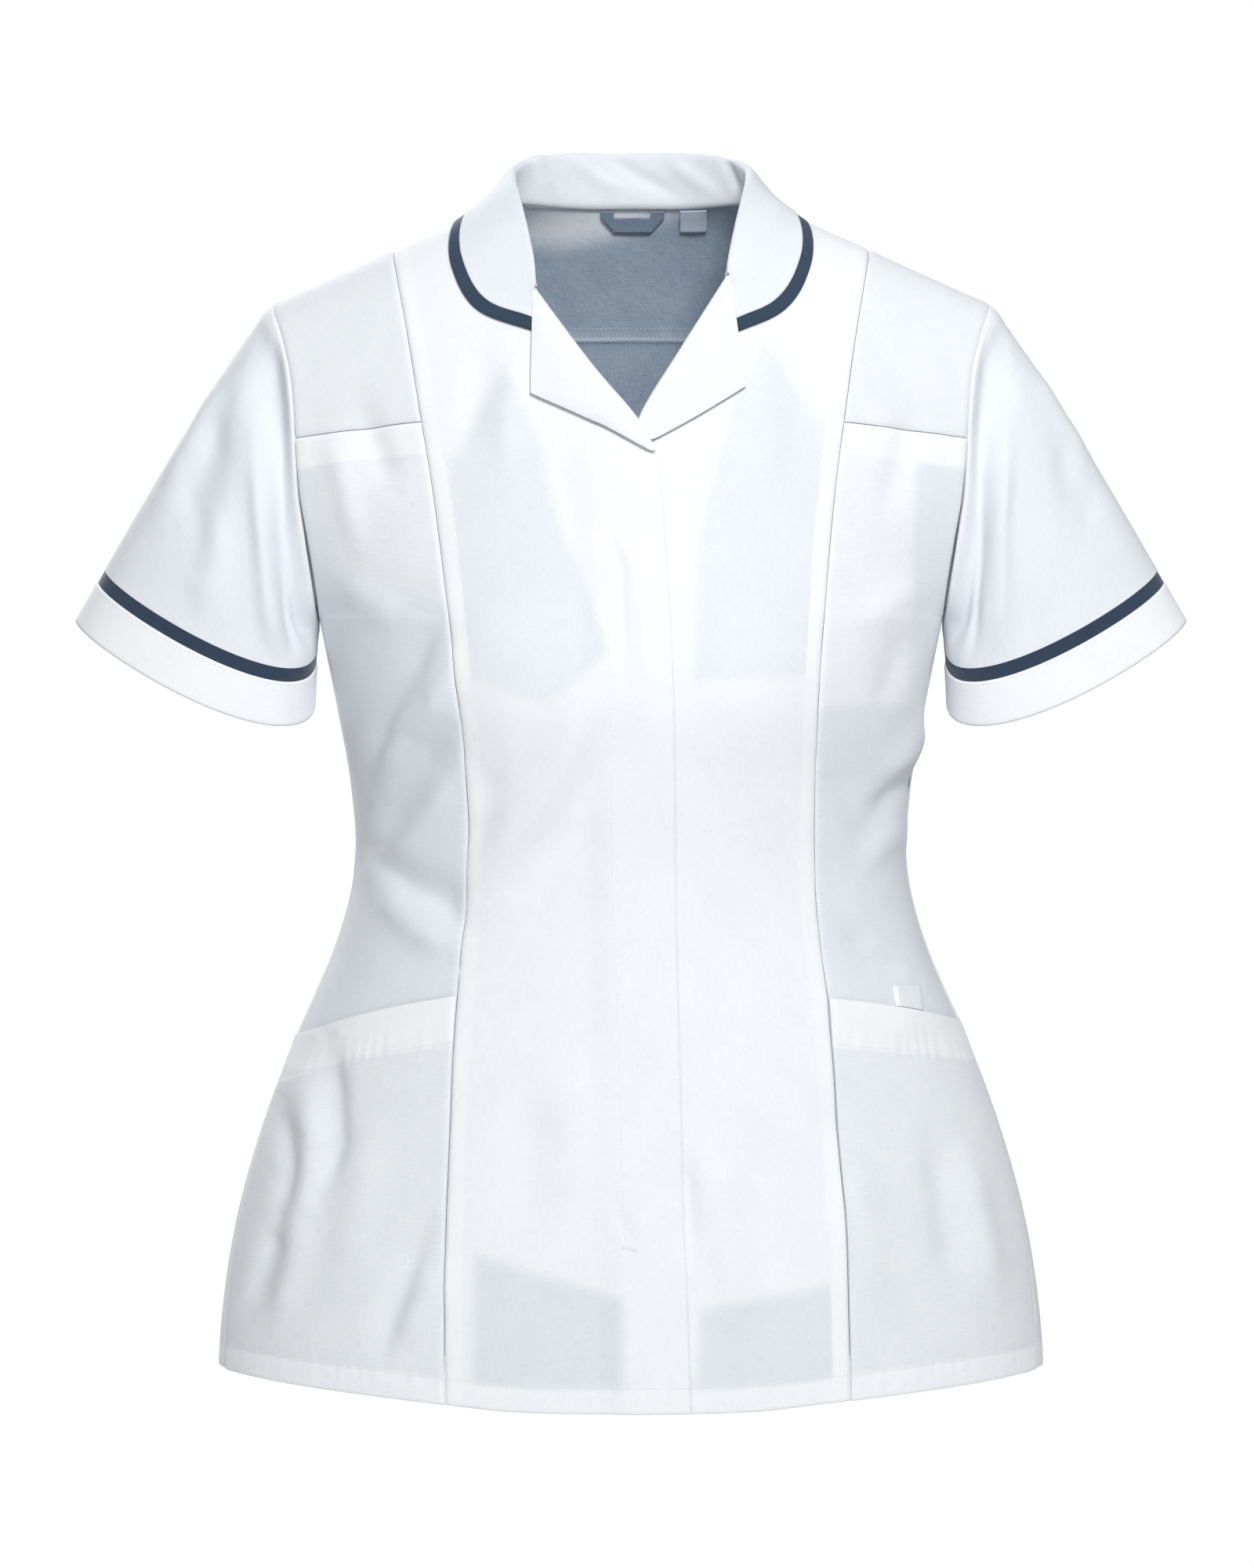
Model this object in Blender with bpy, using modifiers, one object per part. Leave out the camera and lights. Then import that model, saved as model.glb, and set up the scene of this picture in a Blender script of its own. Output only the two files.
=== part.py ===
"""Work tunic, filled out as if it were worn: short sleeves, fly front, collar and lapels, princess seams.

The origin lies midway between the two points where the shoulder seams meet the neckline. Z is up, the wearer looks
along -Y, and +X is the wearer's left. Tables are in millimetres, and everything else is in metres.

The body is a stack of rows. Each row runs from the centre line to the armhole or the side seam, and is numbered from
0 at the shoulder seam, through UNDERARM_ROW, to the last one below the hem. A point on the body is named by its face
(front or back), its row and its share across, which is 0 at the centre and 1 or -1 at the edge.
"""
import math
from bisect import bisect_right
from collections import namedtuple

import bmesh
import bpy
from mathutils import Vector
from mathutils.bvhtree import BVHTree

MM = 0.001
FRONT = 1
BACK = -1
RIGHT = -1
LEFT = 1
SIDE_NAMES = {RIGHT: "right", LEFT: "left"}

# Driving sizes
WALL = 1.2 * MM
SEAM_GAP = 0.45 * MM
LAYER_GAP = 0.65 * MM
LAPEL_GAP = 0.85 * MM
LABEL_DROP = 1.3 * MM
COLLAR_EASE = 0.3 * MM
LAP_WIDTH = 24.0
LAP_LIFT = 2.2 * MM
LAPEL_PUFF = 2.0 * MM
TRIM_WIDTH = 8.0 * MM
CUFF_WIDTH = 27.0 * MM
ROLL_RADIUS = 2.4 * MM
NECK_HALF_WIDTH = 76.0
NECK_DEPTH_BACK = 48.5
LEAST_WRAP = 0.25
CROWDING = 0.55

# The armhole is an ellipse seen from the side
ARMHOLE_TOP_Z = -57.0
UNDERARM_Z = -245.0
ARMHOLE_FRONT = 51.0
ARMHOLE_BACK = 49.0
ARMHOLE_TOP_GAP = 0.9 * MM

# Collection names and colours
OBJECT_NAME = "work_tunic"
WHITE = (0.80, 0.82, 0.85, 1.0)
NAVY = (0.030, 0.055, 0.095, 1.0)
GREY = (0.45, 0.50, 0.55, 1.0)

UpperRow = namedtuple("UpperRow", "turn front_y front_z back_y back_z")
UPPER_ROWS = (
    UpperRow(turn=0, front_y=0, front_z=34, back_y=0, back_z=34),
    UpperRow(turn=20, front_y=-20, front_z=29, back_y=18, back_z=30),
    UpperRow(turn=40, front_y=-42, front_z=13, back_y=37, back_z=19),
    UpperRow(turn=60, front_y=-61, front_z=-13, back_y=54, back_z=0),
    UpperRow(turn=80, front_y=-77, front_z=-45, back_y=68, back_z=-30),
    UpperRow(turn=100, front_y=-90, front_z=-84, back_y=79, back_z=-68),
    UpperRow(turn=120, front_y=-101, front_z=-128, back_y=88, back_z=-112),
    UpperRow(turn=140, front_y=-111, front_z=-172, back_y=95, back_z=-160),
    UpperRow(turn=160, front_y=-120, front_z=-215, back_y=101, back_z=-206),
    UpperRow(turn=180, front_y=-127, front_z=-252, back_y=105, back_z=-250),
)

LowerRow = namedtuple("LowerRow", "z half front_y back_y seam_y")
LOWER_ROWS = (
    LowerRow(z=-300, half=175.5, front_y=-131, back_y=104, seam_y=-3),
    LowerRow(z=-350, half=167, front_y=-123, back_y=96, seam_y=-6),
    LowerRow(z=-395, half=165.5, front_y=-115, back_y=89, seam_y=-8),
    LowerRow(z=-440, half=177, front_y=-112, back_y=93, seam_y=-11),
    LowerRow(z=-495, half=201, front_y=-112, back_y=104, seam_y=-15),
    LowerRow(z=-550, half=221.5, front_y=-114, back_y=112, seam_y=-19),
    LowerRow(z=-605, half=236.5, front_y=-117, back_y=116, seam_y=-23),
    LowerRow(z=-660, half=245, front_y=-119, back_y=118, seam_y=-27),
    LowerRow(z=-720, half=248.5, front_y=-120, back_y=120, seam_y=-30),
)
UNDERARM_ROW = len(UPPER_ROWS) - 1
LAST_ROW = UNDERARM_ROW + len(LOWER_ROWS)

# The fullness that the bust darts give, as a soft mound on each side
BUST = {"height": 9.0, "x": 88.0, "z": -285.0, "spread_x": 48.0, "spread_z": 52.0}

# A line on the body gives x (or z) over a place; a corner breaks its smooth run
Mark = namedtuple("Mark", "at value corner", defaults=(False,))
ARMHOLE_X = (
    Mark(-245, 186.5), Mark(-225, 188.5), Mark(-200, 192), Mark(-175, 196), Mark(-150, 198),
    Mark(-125, 199.5), Mark(-100, 202.5), Mark(-78, 208), Mark(-57, 215.5),
)
EDGE_RIGHT = (
    Mark(-730, 35.5), Mark(-553, 29.5), Mark(-411, 26), Mark(-283, 24), Mark(-177, 18), Mark(-152, 13.5),
    Mark(-133.5, 3, True), Mark(-98, -26), Mark(-61, -54.5, True), Mark(-47, -58), Mark(-30, -63.5),
    Mark(-12, -70), Mark(2, -76),
)
EDGE_LEFT = (
    Mark(-730, 35.5 - LAP_WIDTH), Mark(-553, 29.5 - LAP_WIDTH), Mark(-411, 26 - LAP_WIDTH),
    Mark(-283, 24 - LAP_WIDTH), Mark(-177, 18 - LAP_WIDTH), Mark(-152, 13.5 - LAP_WIDTH),
    Mark(-133.5, 3, True), Mark(-92, 29), Mark(-49, 55.5, True), Mark(-30, 63),
    Mark(-12, 70), Mark(2, 76),
)
PRINCESS = (
    Mark(-730, 118), Mark(-655, 117.5), Mark(-600, 116), Mark(-545, 113), Mark(-500, 110.5), Mark(-470, 108),
    Mark(-440, 105), Mark(-405, 102), Mark(-347, 101.5), Mark(-280, 106), Mark(-236, 110.5), Mark(-171, 118),
    Mark(-131, 124), Mark(-80, 132), Mark(-30, 141.5),
)
PRINCESS_DRIFT = (
    Mark(-730, 10), Mark(-600, 8.5), Mark(-440, 6), Mark(-347, 6), Mark(-280, 4), Mark(-131, 1), Mark(-30, 0),
)
CHEST_SEAM = (Mark(110, -131), Mark(150, -134.5), Mark(200, -140))
POCKET_MOUTH = {
    RIGHT: (Mark(90, -465), Mark(150, -477.5), Mark(205, -496)),
    LEFT: (Mark(100, -467), Mark(160, -476), Mark(210, -489)),
}
HEM = (Mark(0, -708), Mark(70, -707), Mark(115, -703), Mark(160, -699), Mark(200, -695.5), Mark(245, -691))
HEM_BACK = (Mark(0, -700), Mark(150, -697), Mark(245, -691))
YOKE_SEAM = (Mark(0, -72), Mark(110, -74), Mark(210, -80))
BACK_SEAM = (
    Mark(-730, 128), Mark(-600, 122), Mark(-500, 112), Mark(-430, 101), Mark(-380, 97), Mark(-300, 103),
    Mark(-200, 114), Mark(-120, 122), Mark(-60, 126),
)

# Corner points in the front view, as x and z
RIGHT_LAPEL = {
    "fold": (Vector((-54.2, -62)), Vector((-26, -98)), Vector((2.6, -133.5)), Vector((12.6, -152))),
    "edge": (Vector((-55.0, -63)), Vector((-58, -117)), Vector((-20, -134.5)), Vector((10.5, -151.5))),
}
LEFT_LAPEL = {
    "fold": (Vector((55.6, -52)), Vector((31, -90)), Vector((6.2, -132)), Vector((11.6, -144.8))),
    "edge": (Vector((56.4, -53)), Vector((66.3, -113)), Vector((38, -130.5)), Vector((14.2, -144))),
}
ZIP = {"width": 26.0, "top": -158.0, "bottom": -612.0, "lift": -2.2 * MM}
PEN_POCKET = {"left": 154.6, "right": 171.5, "top": -463.0}
NECK_LABEL = {"left": -18.5, "right": 20.5, "top": 3.0, "bottom": -8.5}
SIZE_TAG = {"left": 30.5, "right": 46.5, "top": 2.0, "bottom": -9.5}

# The collar, from the centre back to its front end: where it is sewn on, where it rolls over, where it ends. The neck
# column names a place on the neckline: for the back by its distance from the centre, for the front by its row.
Station = namedtuple("Station", "face neck roll edge")
COLLAR = (
    Station(face=BACK, neck=0, roll=(0, 54, 40), edge=(0, 63, -4)),
    Station(face=BACK, neck=20, roll=(19, 52.5, 40), edge=(21, 62, -4.5)),
    Station(face=BACK, neck=38, roll=(37, 46.5, 39), edge=(42, 57, -7)),
    Station(face=BACK, neck=60, roll=(58, 33, 35.5), edge=(73, 42, -10)),
    Station(face=BACK, neck=73.5, roll=(69.5, 14, 27.5), edge=(94, 15, -4)),
    Station(face=FRONT, neck=0.5, roll=(69.3, -8, 18), edge=(101, -11, -6)),
    Station(face=FRONT, neck=1.5, roll=(67, -27, 8), edge=(105.5, -31, -15)),
    Station(face=FRONT, neck=2.3, roll=(63.9, -44, -5), edge=(106, -48, -32)),
    Station(face=FRONT, neck=3.0, roll=(60.2, -58, -21.5), edge=(101.5, -64, -51)),
    Station(face=FRONT, neck=3.6, roll=(56.9, -69, -38), edge=(88, -76, -68)),
)
COLLAR_END = {
    RIGHT: Station(face=FRONT, neck=4.0, roll=(56.2, -76.5, -52), edge=(56.8, -85, -79.5)),
    LEFT: Station(face=FRONT, neck=3.8, roll=(56.6, -73.5, -44.5), edge=(62.6, -85, -79.5)),
}
NECK_CENTRE = Vector((0, -12, 34))
STAND_CLEAR = 2.0

# The sleeve ends in a slanted oval ring, lower at the front
SLEEVE = {
    "outer": Vector((333, 0, -246)), "inner": Vector((187.6, 0, -291)), "depth": 45.0,
    "dip_front": 22.0, "dip_back": 12.0, "dip_inward": 0.35, "bulge": 3.5, "bulge_early": 0.7,
    "underarm_clear": 0.6,
}

# Cells across and down for each grid
CELLS = {
    "front": (8, 30), "upper_side_front": (6, 8), "side_front": (7, 24), "lower_pocket": (7, 9),
    "pen_pocket": (2, 2), "front_zip": (2, 16), "lapel": (6, 8), "back_yoke": (24, 6), "back_body": (12, 24),
    "side_back": (8, 24),
    "label": (3, 2), "sleeve": (28, 6), "band": (28, 2), "trim": (28, 1), "collar": (40, 9),
    "collar_trim": (40, 1), "hull": (60, 40),
}


def follow(marks, at):
    """Value of a table of marks at a place, on a smooth curve that is broken at its corners."""
    last = len(marks) - 1
    at = min(max(at, marks[0].at), marks[last].at)
    places = [mark.at for mark in marks]
    low = min(max(bisect_right(places, at) - 1, 0), last - 1)

    def slope(index):
        before = low if marks[index].corner and index == low else max(index - 1, 0)
        after = low + 1 if marks[index].corner and index == low + 1 else min(index + 1, last)
        return (marks[after].value - marks[before].value) / (marks[after].at - marks[before].at)

    first, second = marks[low], marks[low + 1]
    span = second.at - first.at
    t = (at - first.at) / span
    return (
        first.value * (2 * t**3 - 3 * t**2 + 1)
        + slope(low) * span * (t**3 - 2 * t**2 + t)
        + second.value * (3 * t**2 - 2 * t**3)
        + slope(low + 1) * span * (t**3 - t**2)
    )


def ease(value, low, high):
    """Smooth step from 0 at low to 1 at high."""
    t = min(max((value - low) / (high - low), 0.0), 1.0)
    return t * t * (3.0 - 2.0 * t)


def armhole(face, turn):
    """Point of the armhole, in mm: turn is 0 at the shoulder tip and 180 degrees at the underarm."""
    middle = (ARMHOLE_TOP_Z + UNDERARM_Z) / 2.0
    z = middle + (ARMHOLE_TOP_Z - middle) * math.cos(math.radians(turn))
    reach = ARMHOLE_FRONT if face == FRONT else ARMHOLE_BACK
    return Vector((follow(ARMHOLE_X, z), -face * reach * math.sin(math.radians(turn)), z))


def middle_marks(column_y, column_z):
    """Centre lines over the row number: rows of the back are negative, so they pass smoothly over the shoulder."""
    upper_back = [Mark(-i, getattr(row, "back_" + column_y)) for i, row in enumerate(UPPER_ROWS)][:0:-1]
    upper_front = [Mark(i, getattr(row, "front_" + column_y)) for i, row in enumerate(UPPER_ROWS)]
    lower = range(UNDERARM_ROW + 1, LAST_ROW + 1)
    lower_back = [Mark(-i, getattr(row, column_z[BACK])) for i, row in zip(lower, LOWER_ROWS)][::-1]
    lower_front = [Mark(i, getattr(row, column_z[FRONT])) for i, row in zip(lower, LOWER_ROWS)]
    return lower_back + upper_back + upper_front + lower_front


MIDDLE_Y = middle_marks("y", {FRONT: "front_y", BACK: "back_y"})
MIDDLE_Z = middle_marks("z", {FRONT: "z", BACK: "z"})


def lower_edge_marks(column):
    """Side seam from the underarm down, over the row number."""
    start = {"x": armhole(FRONT, 180).x, "y": 0.0, "z": UNDERARM_Z}[column]
    marks = [Mark(UNDERARM_ROW, start)]
    for i, row in enumerate(LOWER_ROWS):
        inset = math.sqrt(1.0 - (row.seam_y / row.front_y) ** 2)
        value = {"x": row.half * inset, "y": row.seam_y, "z": row.z}[column]
        marks.append(Mark(UNDERARM_ROW + 1 + i, value))
    return marks


SIDE_X = lower_edge_marks("x")
SIDE_Y = lower_edge_marks("y")
SIDE_Z = lower_edge_marks("z")


def row_edge(face, row):
    """Outer end of a row, in mm: on the armhole, or on the side seam below it."""
    if row <= UNDERARM_ROW:
        return armhole(face, row * 180.0 / UNDERARM_ROW)
    return Vector((follow(SIDE_X, row), follow(SIDE_Y, row), follow(SIDE_Z, row)))


def row_wrap(face, row, edge):
    """Angle that a row sweeps from the centre line to its edge, with its depth in front of and behind the side."""
    depth = abs(follow(MIDDLE_Y, face * row))
    far_depth = abs(follow(MIDDLE_Y, -face * row))
    reach = -face * edge.y
    own = depth if reach >= 0.0 else far_depth
    share = max(-1.0, min(1.0, reach / own)) if own > 0.0 else 1.0
    return max(math.acos(share), LEAST_WRAP), depth, far_depth


def body_mm(face, row, across):
    """Point on the outside of the body, in mm."""
    edge = row_edge(face, row)
    wrap, depth, far_depth = row_wrap(face, row, edge)
    angle = across * wrap
    x = edge.x * math.sin(angle) / math.sin(wrap)
    cosine = math.cos(angle)
    y = -face * cosine * (depth if cosine >= 0.0 else far_depth)
    bend = 1.0 + 0.8 * min(1.0, row / (0.4 * UNDERARM_ROW))
    middle_z = follow(MIDDLE_Z, face * row)
    z = middle_z + (edge.z - middle_z) * min(abs(x / edge.x), 1.0) ** bend
    if face == FRONT:
        from_bust = ((abs(x) - BUST["x"]) / BUST["spread_x"]) ** 2 + ((z - BUST["z"]) / BUST["spread_z"]) ** 2
        y -= BUST["height"] * math.exp(-from_bust) * max(cosine, 0.0)
    return Vector((x, y, z))


def body_point(face, row, across, lift=0.0):
    """Point in metres on the body, moved out by lift."""
    point = body_mm(face, row, across) * MM
    if lift == 0.0:
        return point
    step_row, step_across = 0.05, 0.02
    low_row, high_row = max(row - step_row, 0.0), min(row + step_row, LAST_ROW)
    down = body_mm(face, high_row, across) - body_mm(face, low_row, across)
    sideways = body_mm(face, row, across + step_across) - body_mm(face, row, across - step_across)
    normal = (down.cross(sideways) * face).normalized()
    return point + normal * lift


def across_at_x(face, row, x):
    """Share across at which a row reaches x (mm)."""
    edge = row_edge(face, row)
    wrap = row_wrap(face, row, edge)[0]
    return math.asin(max(-1.0, min(1.0, x / edge.x * math.sin(wrap)))) / wrap


def across_on_line(face, row, line):
    """Share across at which a row crosses a line that gives x over z."""
    z = follow(MIDDLE_Z, face * row)
    across = 0.0
    for _ in range(8):
        across = across_at_x(face, row, line(z))
        z = body_mm(face, row, across).z
    return across


def row_at_level(face, across_of_row, level, top=0.0, bottom=LAST_ROW):
    """Row at which a column of the grid comes down to level, a function that gives z over the distance from centre."""
    for _ in range(26):
        row = (top + bottom) / 2.0
        point = body_mm(face, row, across_of_row(row))
        if point.z > level(abs(point.x)):
            top = row
        else:
            bottom = row
    return (top + bottom) / 2.0


def front_at(x, z, lift):
    """Point in metres on the front at x and z (mm), moved out by lift."""
    row = row_at_level(FRONT, lambda r: across_at_x(FRONT, r, x), lambda _: z)
    return body_point(FRONT, row, across_at_x(FRONT, row, x), lift)


def material(name, colour, roughness):
    """Cloth material, made once."""
    if name in bpy.data.materials:
        return bpy.data.materials[name]
    made = bpy.data.materials.new(name)
    made.use_nodes = True
    shader = made.node_tree.nodes["Principled BSDF"]
    shader.inputs["Base Color"].default_value = colour
    shader.inputs["Roughness"].default_value = roughness
    shader.inputs["Metallic"].default_value = 0.0
    return made


def white_cloth():
    return material("white_cloth", WHITE, 0.85)


def navy_cloth():
    return material("navy_cloth", NAVY, 0.8)


def grey_label():
    return material("grey_label", GREY, 0.7)


def cloth(name, cells, place, outward, cloth_material, closed=False, centred=False):
    """One piece of cloth: a grid whose points are put in place, closed into a tube if asked, and given its wall.

    place takes two shares from 0 to 1 along the grid's sides. outward takes a point and gives the direction that the
    right side of the cloth faces. The wall lies inside the points, or on both sides of them when centred.
    """
    bm = bmesh.new()
    bmesh.ops.create_grid(bm, x_segments=cells[0], y_segments=cells[1], size=1.0)
    for vert in bm.verts:
        vert.co = place((vert.co.x + 1.0) / 2.0, (1.0 - vert.co.y) / 2.0)
    if closed:
        bmesh.ops.remove_doubles(bm, verts=bm.verts, dist=0.00005)
    bm.normal_update()
    if sum(face.normal.dot(outward(face.calc_center_median())) for face in bm.faces) < 0.0:
        bmesh.ops.reverse_faces(bm, faces=bm.faces)
    mesh = bpy.data.meshes.new(name)
    bm.to_mesh(mesh)
    bm.free()
    mesh.shade_smooth()
    mesh.materials.append(cloth_material)
    made = bpy.data.objects.new(name, mesh)
    bpy.data.collections[OBJECT_NAME].objects.link(made)
    wall = made.modifiers.new("wall", "SOLIDIFY")
    wall.thickness = WALL
    wall.offset = 0.0 if centred else -1.0
    wall.use_even_offset = True
    return made


def from_centre(point):
    """Direction from the middle of the body out through a point."""
    return point - Vector((0.0, 0.0, point.z - 0.02))


def crowd_outwards(share):
    """Share of a column, with the columns closer together where the outer edge rounds the side."""
    return share + CROWDING * math.sin(math.pi * share) / math.pi


def crowd_inwards(share):
    """Share of a column, with the columns closer together at the inner edge."""
    return share - CROWDING * math.sin(math.pi * share) / math.pi


def body_panel(name, kind, face, inner, outer, top, bottom, lift=None, cloth_material=None, spread=None):
    """Panel on the body between two across-lines and two row-lines.

    inner and outer give the share across over the row. top and bottom give the row for a column, whose share across
    over the row they are handed. lift gives the height over the body in metres for x and z in mm. spread places the
    columns.
    """
    ends = {}

    def column_across(share):
        share = spread(share) if spread else share
        return lambda row: inner(row) + (outer(row) - inner(row)) * share

    def place(share, down):
        across_of_row = column_across(share)
        if share not in ends:
            ends[share] = (top(across_of_row), bottom(across_of_row))
        first, last = ends[share]
        row = first + (last - first) * down
        across = across_of_row(row)
        raised = 0.0
        if lift is not None:
            flat = body_mm(face, row, across)
            raised = lift(flat.x, flat.z)
        return body_point(face, row, across, raised)

    return cloth(name, CELLS[kind], place, from_centre, cloth_material or white_cloth())


def edge_line(face, side):
    """Armhole and side seam as an across-line, a whole seam gap inside because the cloth bends sharply there."""
    def share(row):
        edge = row_edge(face, row)
        sweep = edge.x * row_wrap(face, row, edge)[0]
        return side * (1.0 - 2.0 * HALF_GAP / sweep)
    return share


def princess_line(side, clear):
    """Princess seam as an across-line, moved away from the centre by clear (mm)."""
    def x_at(z):
        return side * (follow(PRINCESS, z) + clear) + follow(PRINCESS_DRIFT, z)
    return lambda row: across_on_line(FRONT, row, x_at)


def fixed_row(row):
    """Top or bottom line that follows one row."""
    return lambda across_of_row: row


def level_line(face, marks, clear=0.0):
    """Top or bottom line at the z (mm) that marks give over the distance from the centre, raised by clear."""
    return lambda across_of_row: row_at_level(face, across_of_row, lambda x: follow(marks, x) + clear)


HALF_GAP = SEAM_GAP / MM / 2.0
PRINCESS_CLEAR = 0.36
SHOULDER_ROW = 0.02


def lap_lift(x, z):
    """Height of the right front over the body where it laps over the left one."""
    return LAP_LIFT * ease(x - follow(EDGE_LEFT, z), -30.0, -12.0)


def make_fronts():
    """Centre fronts, from the neckline along the lapel's fold and the front edge down to the hem."""
    for side, edge in ((RIGHT, EDGE_RIGHT), (LEFT, EDGE_LEFT)):
        body_panel(
            "front_" + SIDE_NAMES[side], "front", FRONT,
            inner=lambda row, line=edge: across_on_line(FRONT, row, lambda z: follow(line, z)),
            outer=princess_line(side, -PRINCESS_CLEAR),
            top=fixed_row(SHOULDER_ROW),
            bottom=level_line(FRONT, HEM),
            lift=lap_lift if side == RIGHT else None,
            spread=crowd_inwards,
        )


def make_side_fronts():
    """Side fronts above and below the chest seam, with the lower pocket on the lower one."""
    for side in (RIGHT, LEFT):
        inner = princess_line(side, PRINCESS_CLEAR)
        outer = edge_line(FRONT, side)
        name = SIDE_NAMES[side]
        body_panel(
            "upper_side_front_" + name, "upper_side_front", FRONT, inner, outer,
            top=fixed_row(SHOULDER_ROW), bottom=level_line(FRONT, CHEST_SEAM, HALF_GAP),
        )
        body_panel(
            "side_front_" + name, "side_front", FRONT, inner, outer,
            top=level_line(FRONT, CHEST_SEAM, -HALF_GAP), bottom=level_line(FRONT, HEM), spread=crowd_outwards,
        )
        body_panel(
            "lower_pocket_" + name, "lower_pocket", FRONT, inner, outer,
            top=level_line(FRONT, POCKET_MOUTH[side]), bottom=level_line(FRONT, HEM),
            lift=lambda x, z: WALL + LAYER_GAP, spread=crowd_outwards,
        )


def make_pen_pocket():
    """Top of the narrow pocket, just above the mouth of the left lower pocket."""
    mouth = POCKET_MOUTH[LEFT]
    body_panel(
        "pen_pocket", "pen_pocket", FRONT,
        inner=lambda row: across_at_x(FRONT, row, PEN_POCKET["left"]),
        outer=lambda row: across_at_x(FRONT, row, PEN_POCKET["right"]),
        top=lambda across_of_row: row_at_level(FRONT, across_of_row, lambda x: PEN_POCKET["top"]),
        bottom=level_line(FRONT, mouth, HALF_GAP * 2.0),
        lift=lambda x, z: WALL + LAYER_GAP,
    )


def make_zip():
    """Plain strip of the hidden zip, under the overlap of the fronts."""
    half = ZIP["width"] / 2.0

    def centre_x(z):
        return follow(EDGE_LEFT, z)

    body_panel(
        "front_zip", "front_zip", FRONT,
        inner=lambda row: across_on_line(FRONT, row, lambda z: centre_x(z) - half),
        outer=lambda row: across_on_line(FRONT, row, lambda z: centre_x(z) + half),
        top=lambda across_of_row: row_at_level(FRONT, across_of_row, lambda x: ZIP["top"]),
        bottom=lambda across_of_row: row_at_level(FRONT, across_of_row, lambda x: ZIP["bottom"]),
        lift=lambda x, z: ZIP["lift"],
    )


def along(points, share):
    """Point on a smooth curve through points that are evenly spaced along it."""
    count = len(points) - 1
    axes = range(len(points[0]))
    return Vector([follow([Mark(i / count, point[axis]) for i, point in enumerate(points)], share) for axis in axes])


def make_lapel(side, outline):
    """Turned-back top of a front: a sheet between its fold and its outer edge, lying on the front."""
    corner = outline["edge"][1]

    def edge_at(share):
        if share < 0.5:
            return outline["edge"][0].lerp(corner, share * 2.0)
        return along((corner,) + outline["edge"][2:], share * 2.0 - 1.0)

    def place(share, down):
        fold = along(outline["fold"], down)
        spot = fold.lerp(edge_at(down), share)
        base = lap_lift(spot.x, spot.y) if side == RIGHT else 0.0
        puff = LAPEL_PUFF * math.sin(math.pi * share) * math.sin(math.pi * down)
        return front_at(spot.x, spot.y, base + WALL + LAPEL_GAP + puff)

    cloth("lapel_" + SIDE_NAMES[side], CELLS["lapel"], place, from_centre, white_cloth())


def neckline_row(x):
    """Row of the back at which the neckline passes, for a distance from the centre in mm."""
    depth = NECK_DEPTH_BACK * math.sqrt(max(0.0, 1.0 - (x / NECK_HALF_WIDTH) ** 2))
    top, bottom = 0.0, UNDERARM_ROW
    for _ in range(26):
        row = (top + bottom) / 2.0
        if body_mm(BACK, row, across_at_x(BACK, row, x)).y < depth:
            top = row
        else:
            bottom = row
    return max(row, SHOULDER_ROW)


def back_seam_line(side, clear):
    """Seam between the back and a side back as an across-line, moved away from the centre by clear (mm)."""
    return lambda row: across_on_line(BACK, row, lambda z: side * (follow(BACK_SEAM, z) + clear))


def make_back():
    """Yoke from the neckline and shoulder seams to the yoke seam, and the back with its side backs below it."""

    def yoke_top(across_of_row):
        row = SHOULDER_ROW
        for _ in range(10):
            x = abs(body_mm(BACK, row, across_of_row(row)).x)
            row = neckline_row(x) if x < NECK_HALF_WIDTH else SHOULDER_ROW
        return row

    body_panel(
        "back_yoke", "back_yoke", BACK, edge_line(BACK, RIGHT), edge_line(BACK, LEFT),
        top=yoke_top, bottom=level_line(BACK, YOKE_SEAM, HALF_GAP),
    )
    below_yoke, hem = level_line(BACK, YOKE_SEAM, -HALF_GAP), level_line(BACK, HEM_BACK)
    body_panel(
        "back_body", "back_body", BACK, back_seam_line(RIGHT, -PRINCESS_CLEAR), back_seam_line(LEFT, -PRINCESS_CLEAR),
        top=below_yoke, bottom=hem,
    )
    for side in (RIGHT, LEFT):
        body_panel(
            "side_back_" + SIDE_NAMES[side], "side_back", BACK, back_seam_line(side, PRINCESS_CLEAR),
            edge_line(BACK, side), top=below_yoke, bottom=hem, spread=crowd_outwards,
        )


def make_labels():
    """Plain hanging loop and plain size tag, inside the back of the neck."""
    for name, place in (("neck_label", NECK_LABEL), ("size_tag", SIZE_TAG)):
        body_panel(
            name, "label", BACK,
            inner=lambda row, at=place: across_at_x(BACK, row, at["left"]),
            outer=lambda row, at=place: across_at_x(BACK, row, at["right"]),
            top=lambda across_of_row, at=place: row_at_level(BACK, across_of_row, lambda x: at["top"]),
            bottom=lambda across_of_row, at=place: row_at_level(BACK, across_of_row, lambda x: at["bottom"]),
            lift=lambda x, z: -WALL - LABEL_DROP,
            cloth_material=grey_label(),
        )


def sleeve_ends(turn):
    """Start on the armhole and end on the cuff's ring, in metres on the wearer's left, with the outward direction."""
    face = FRONT if turn <= 180.0 else BACK
    start = armhole(face, turn if face == FRONT else 360.0 - turn)
    half = (SLEEVE["outer"] - SLEEVE["inner"]) / 2.0
    middle = (SLEEVE["outer"] + SLEEVE["inner"]) / 2.0
    swing = math.radians(turn)
    end = middle + half * math.cos(swing) + Vector((0.0, -SLEEVE["depth"] * math.sin(swing), 0.0))
    dip = SLEEVE["dip_front"] if face == FRONT else SLEEVE["dip_back"]
    end.z -= dip * abs(math.sin(swing)) * (1.0 - SLEEVE["dip_inward"] * math.cos(swing))
    start.x += SLEEVE["underarm_clear"] * (1.0 - math.cos(swing)) / 2.0
    outward = half.normalized() * math.cos(swing) + Vector((0.0, -math.sin(swing), 0.0))
    return start * MM, end * MM, outward


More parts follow.
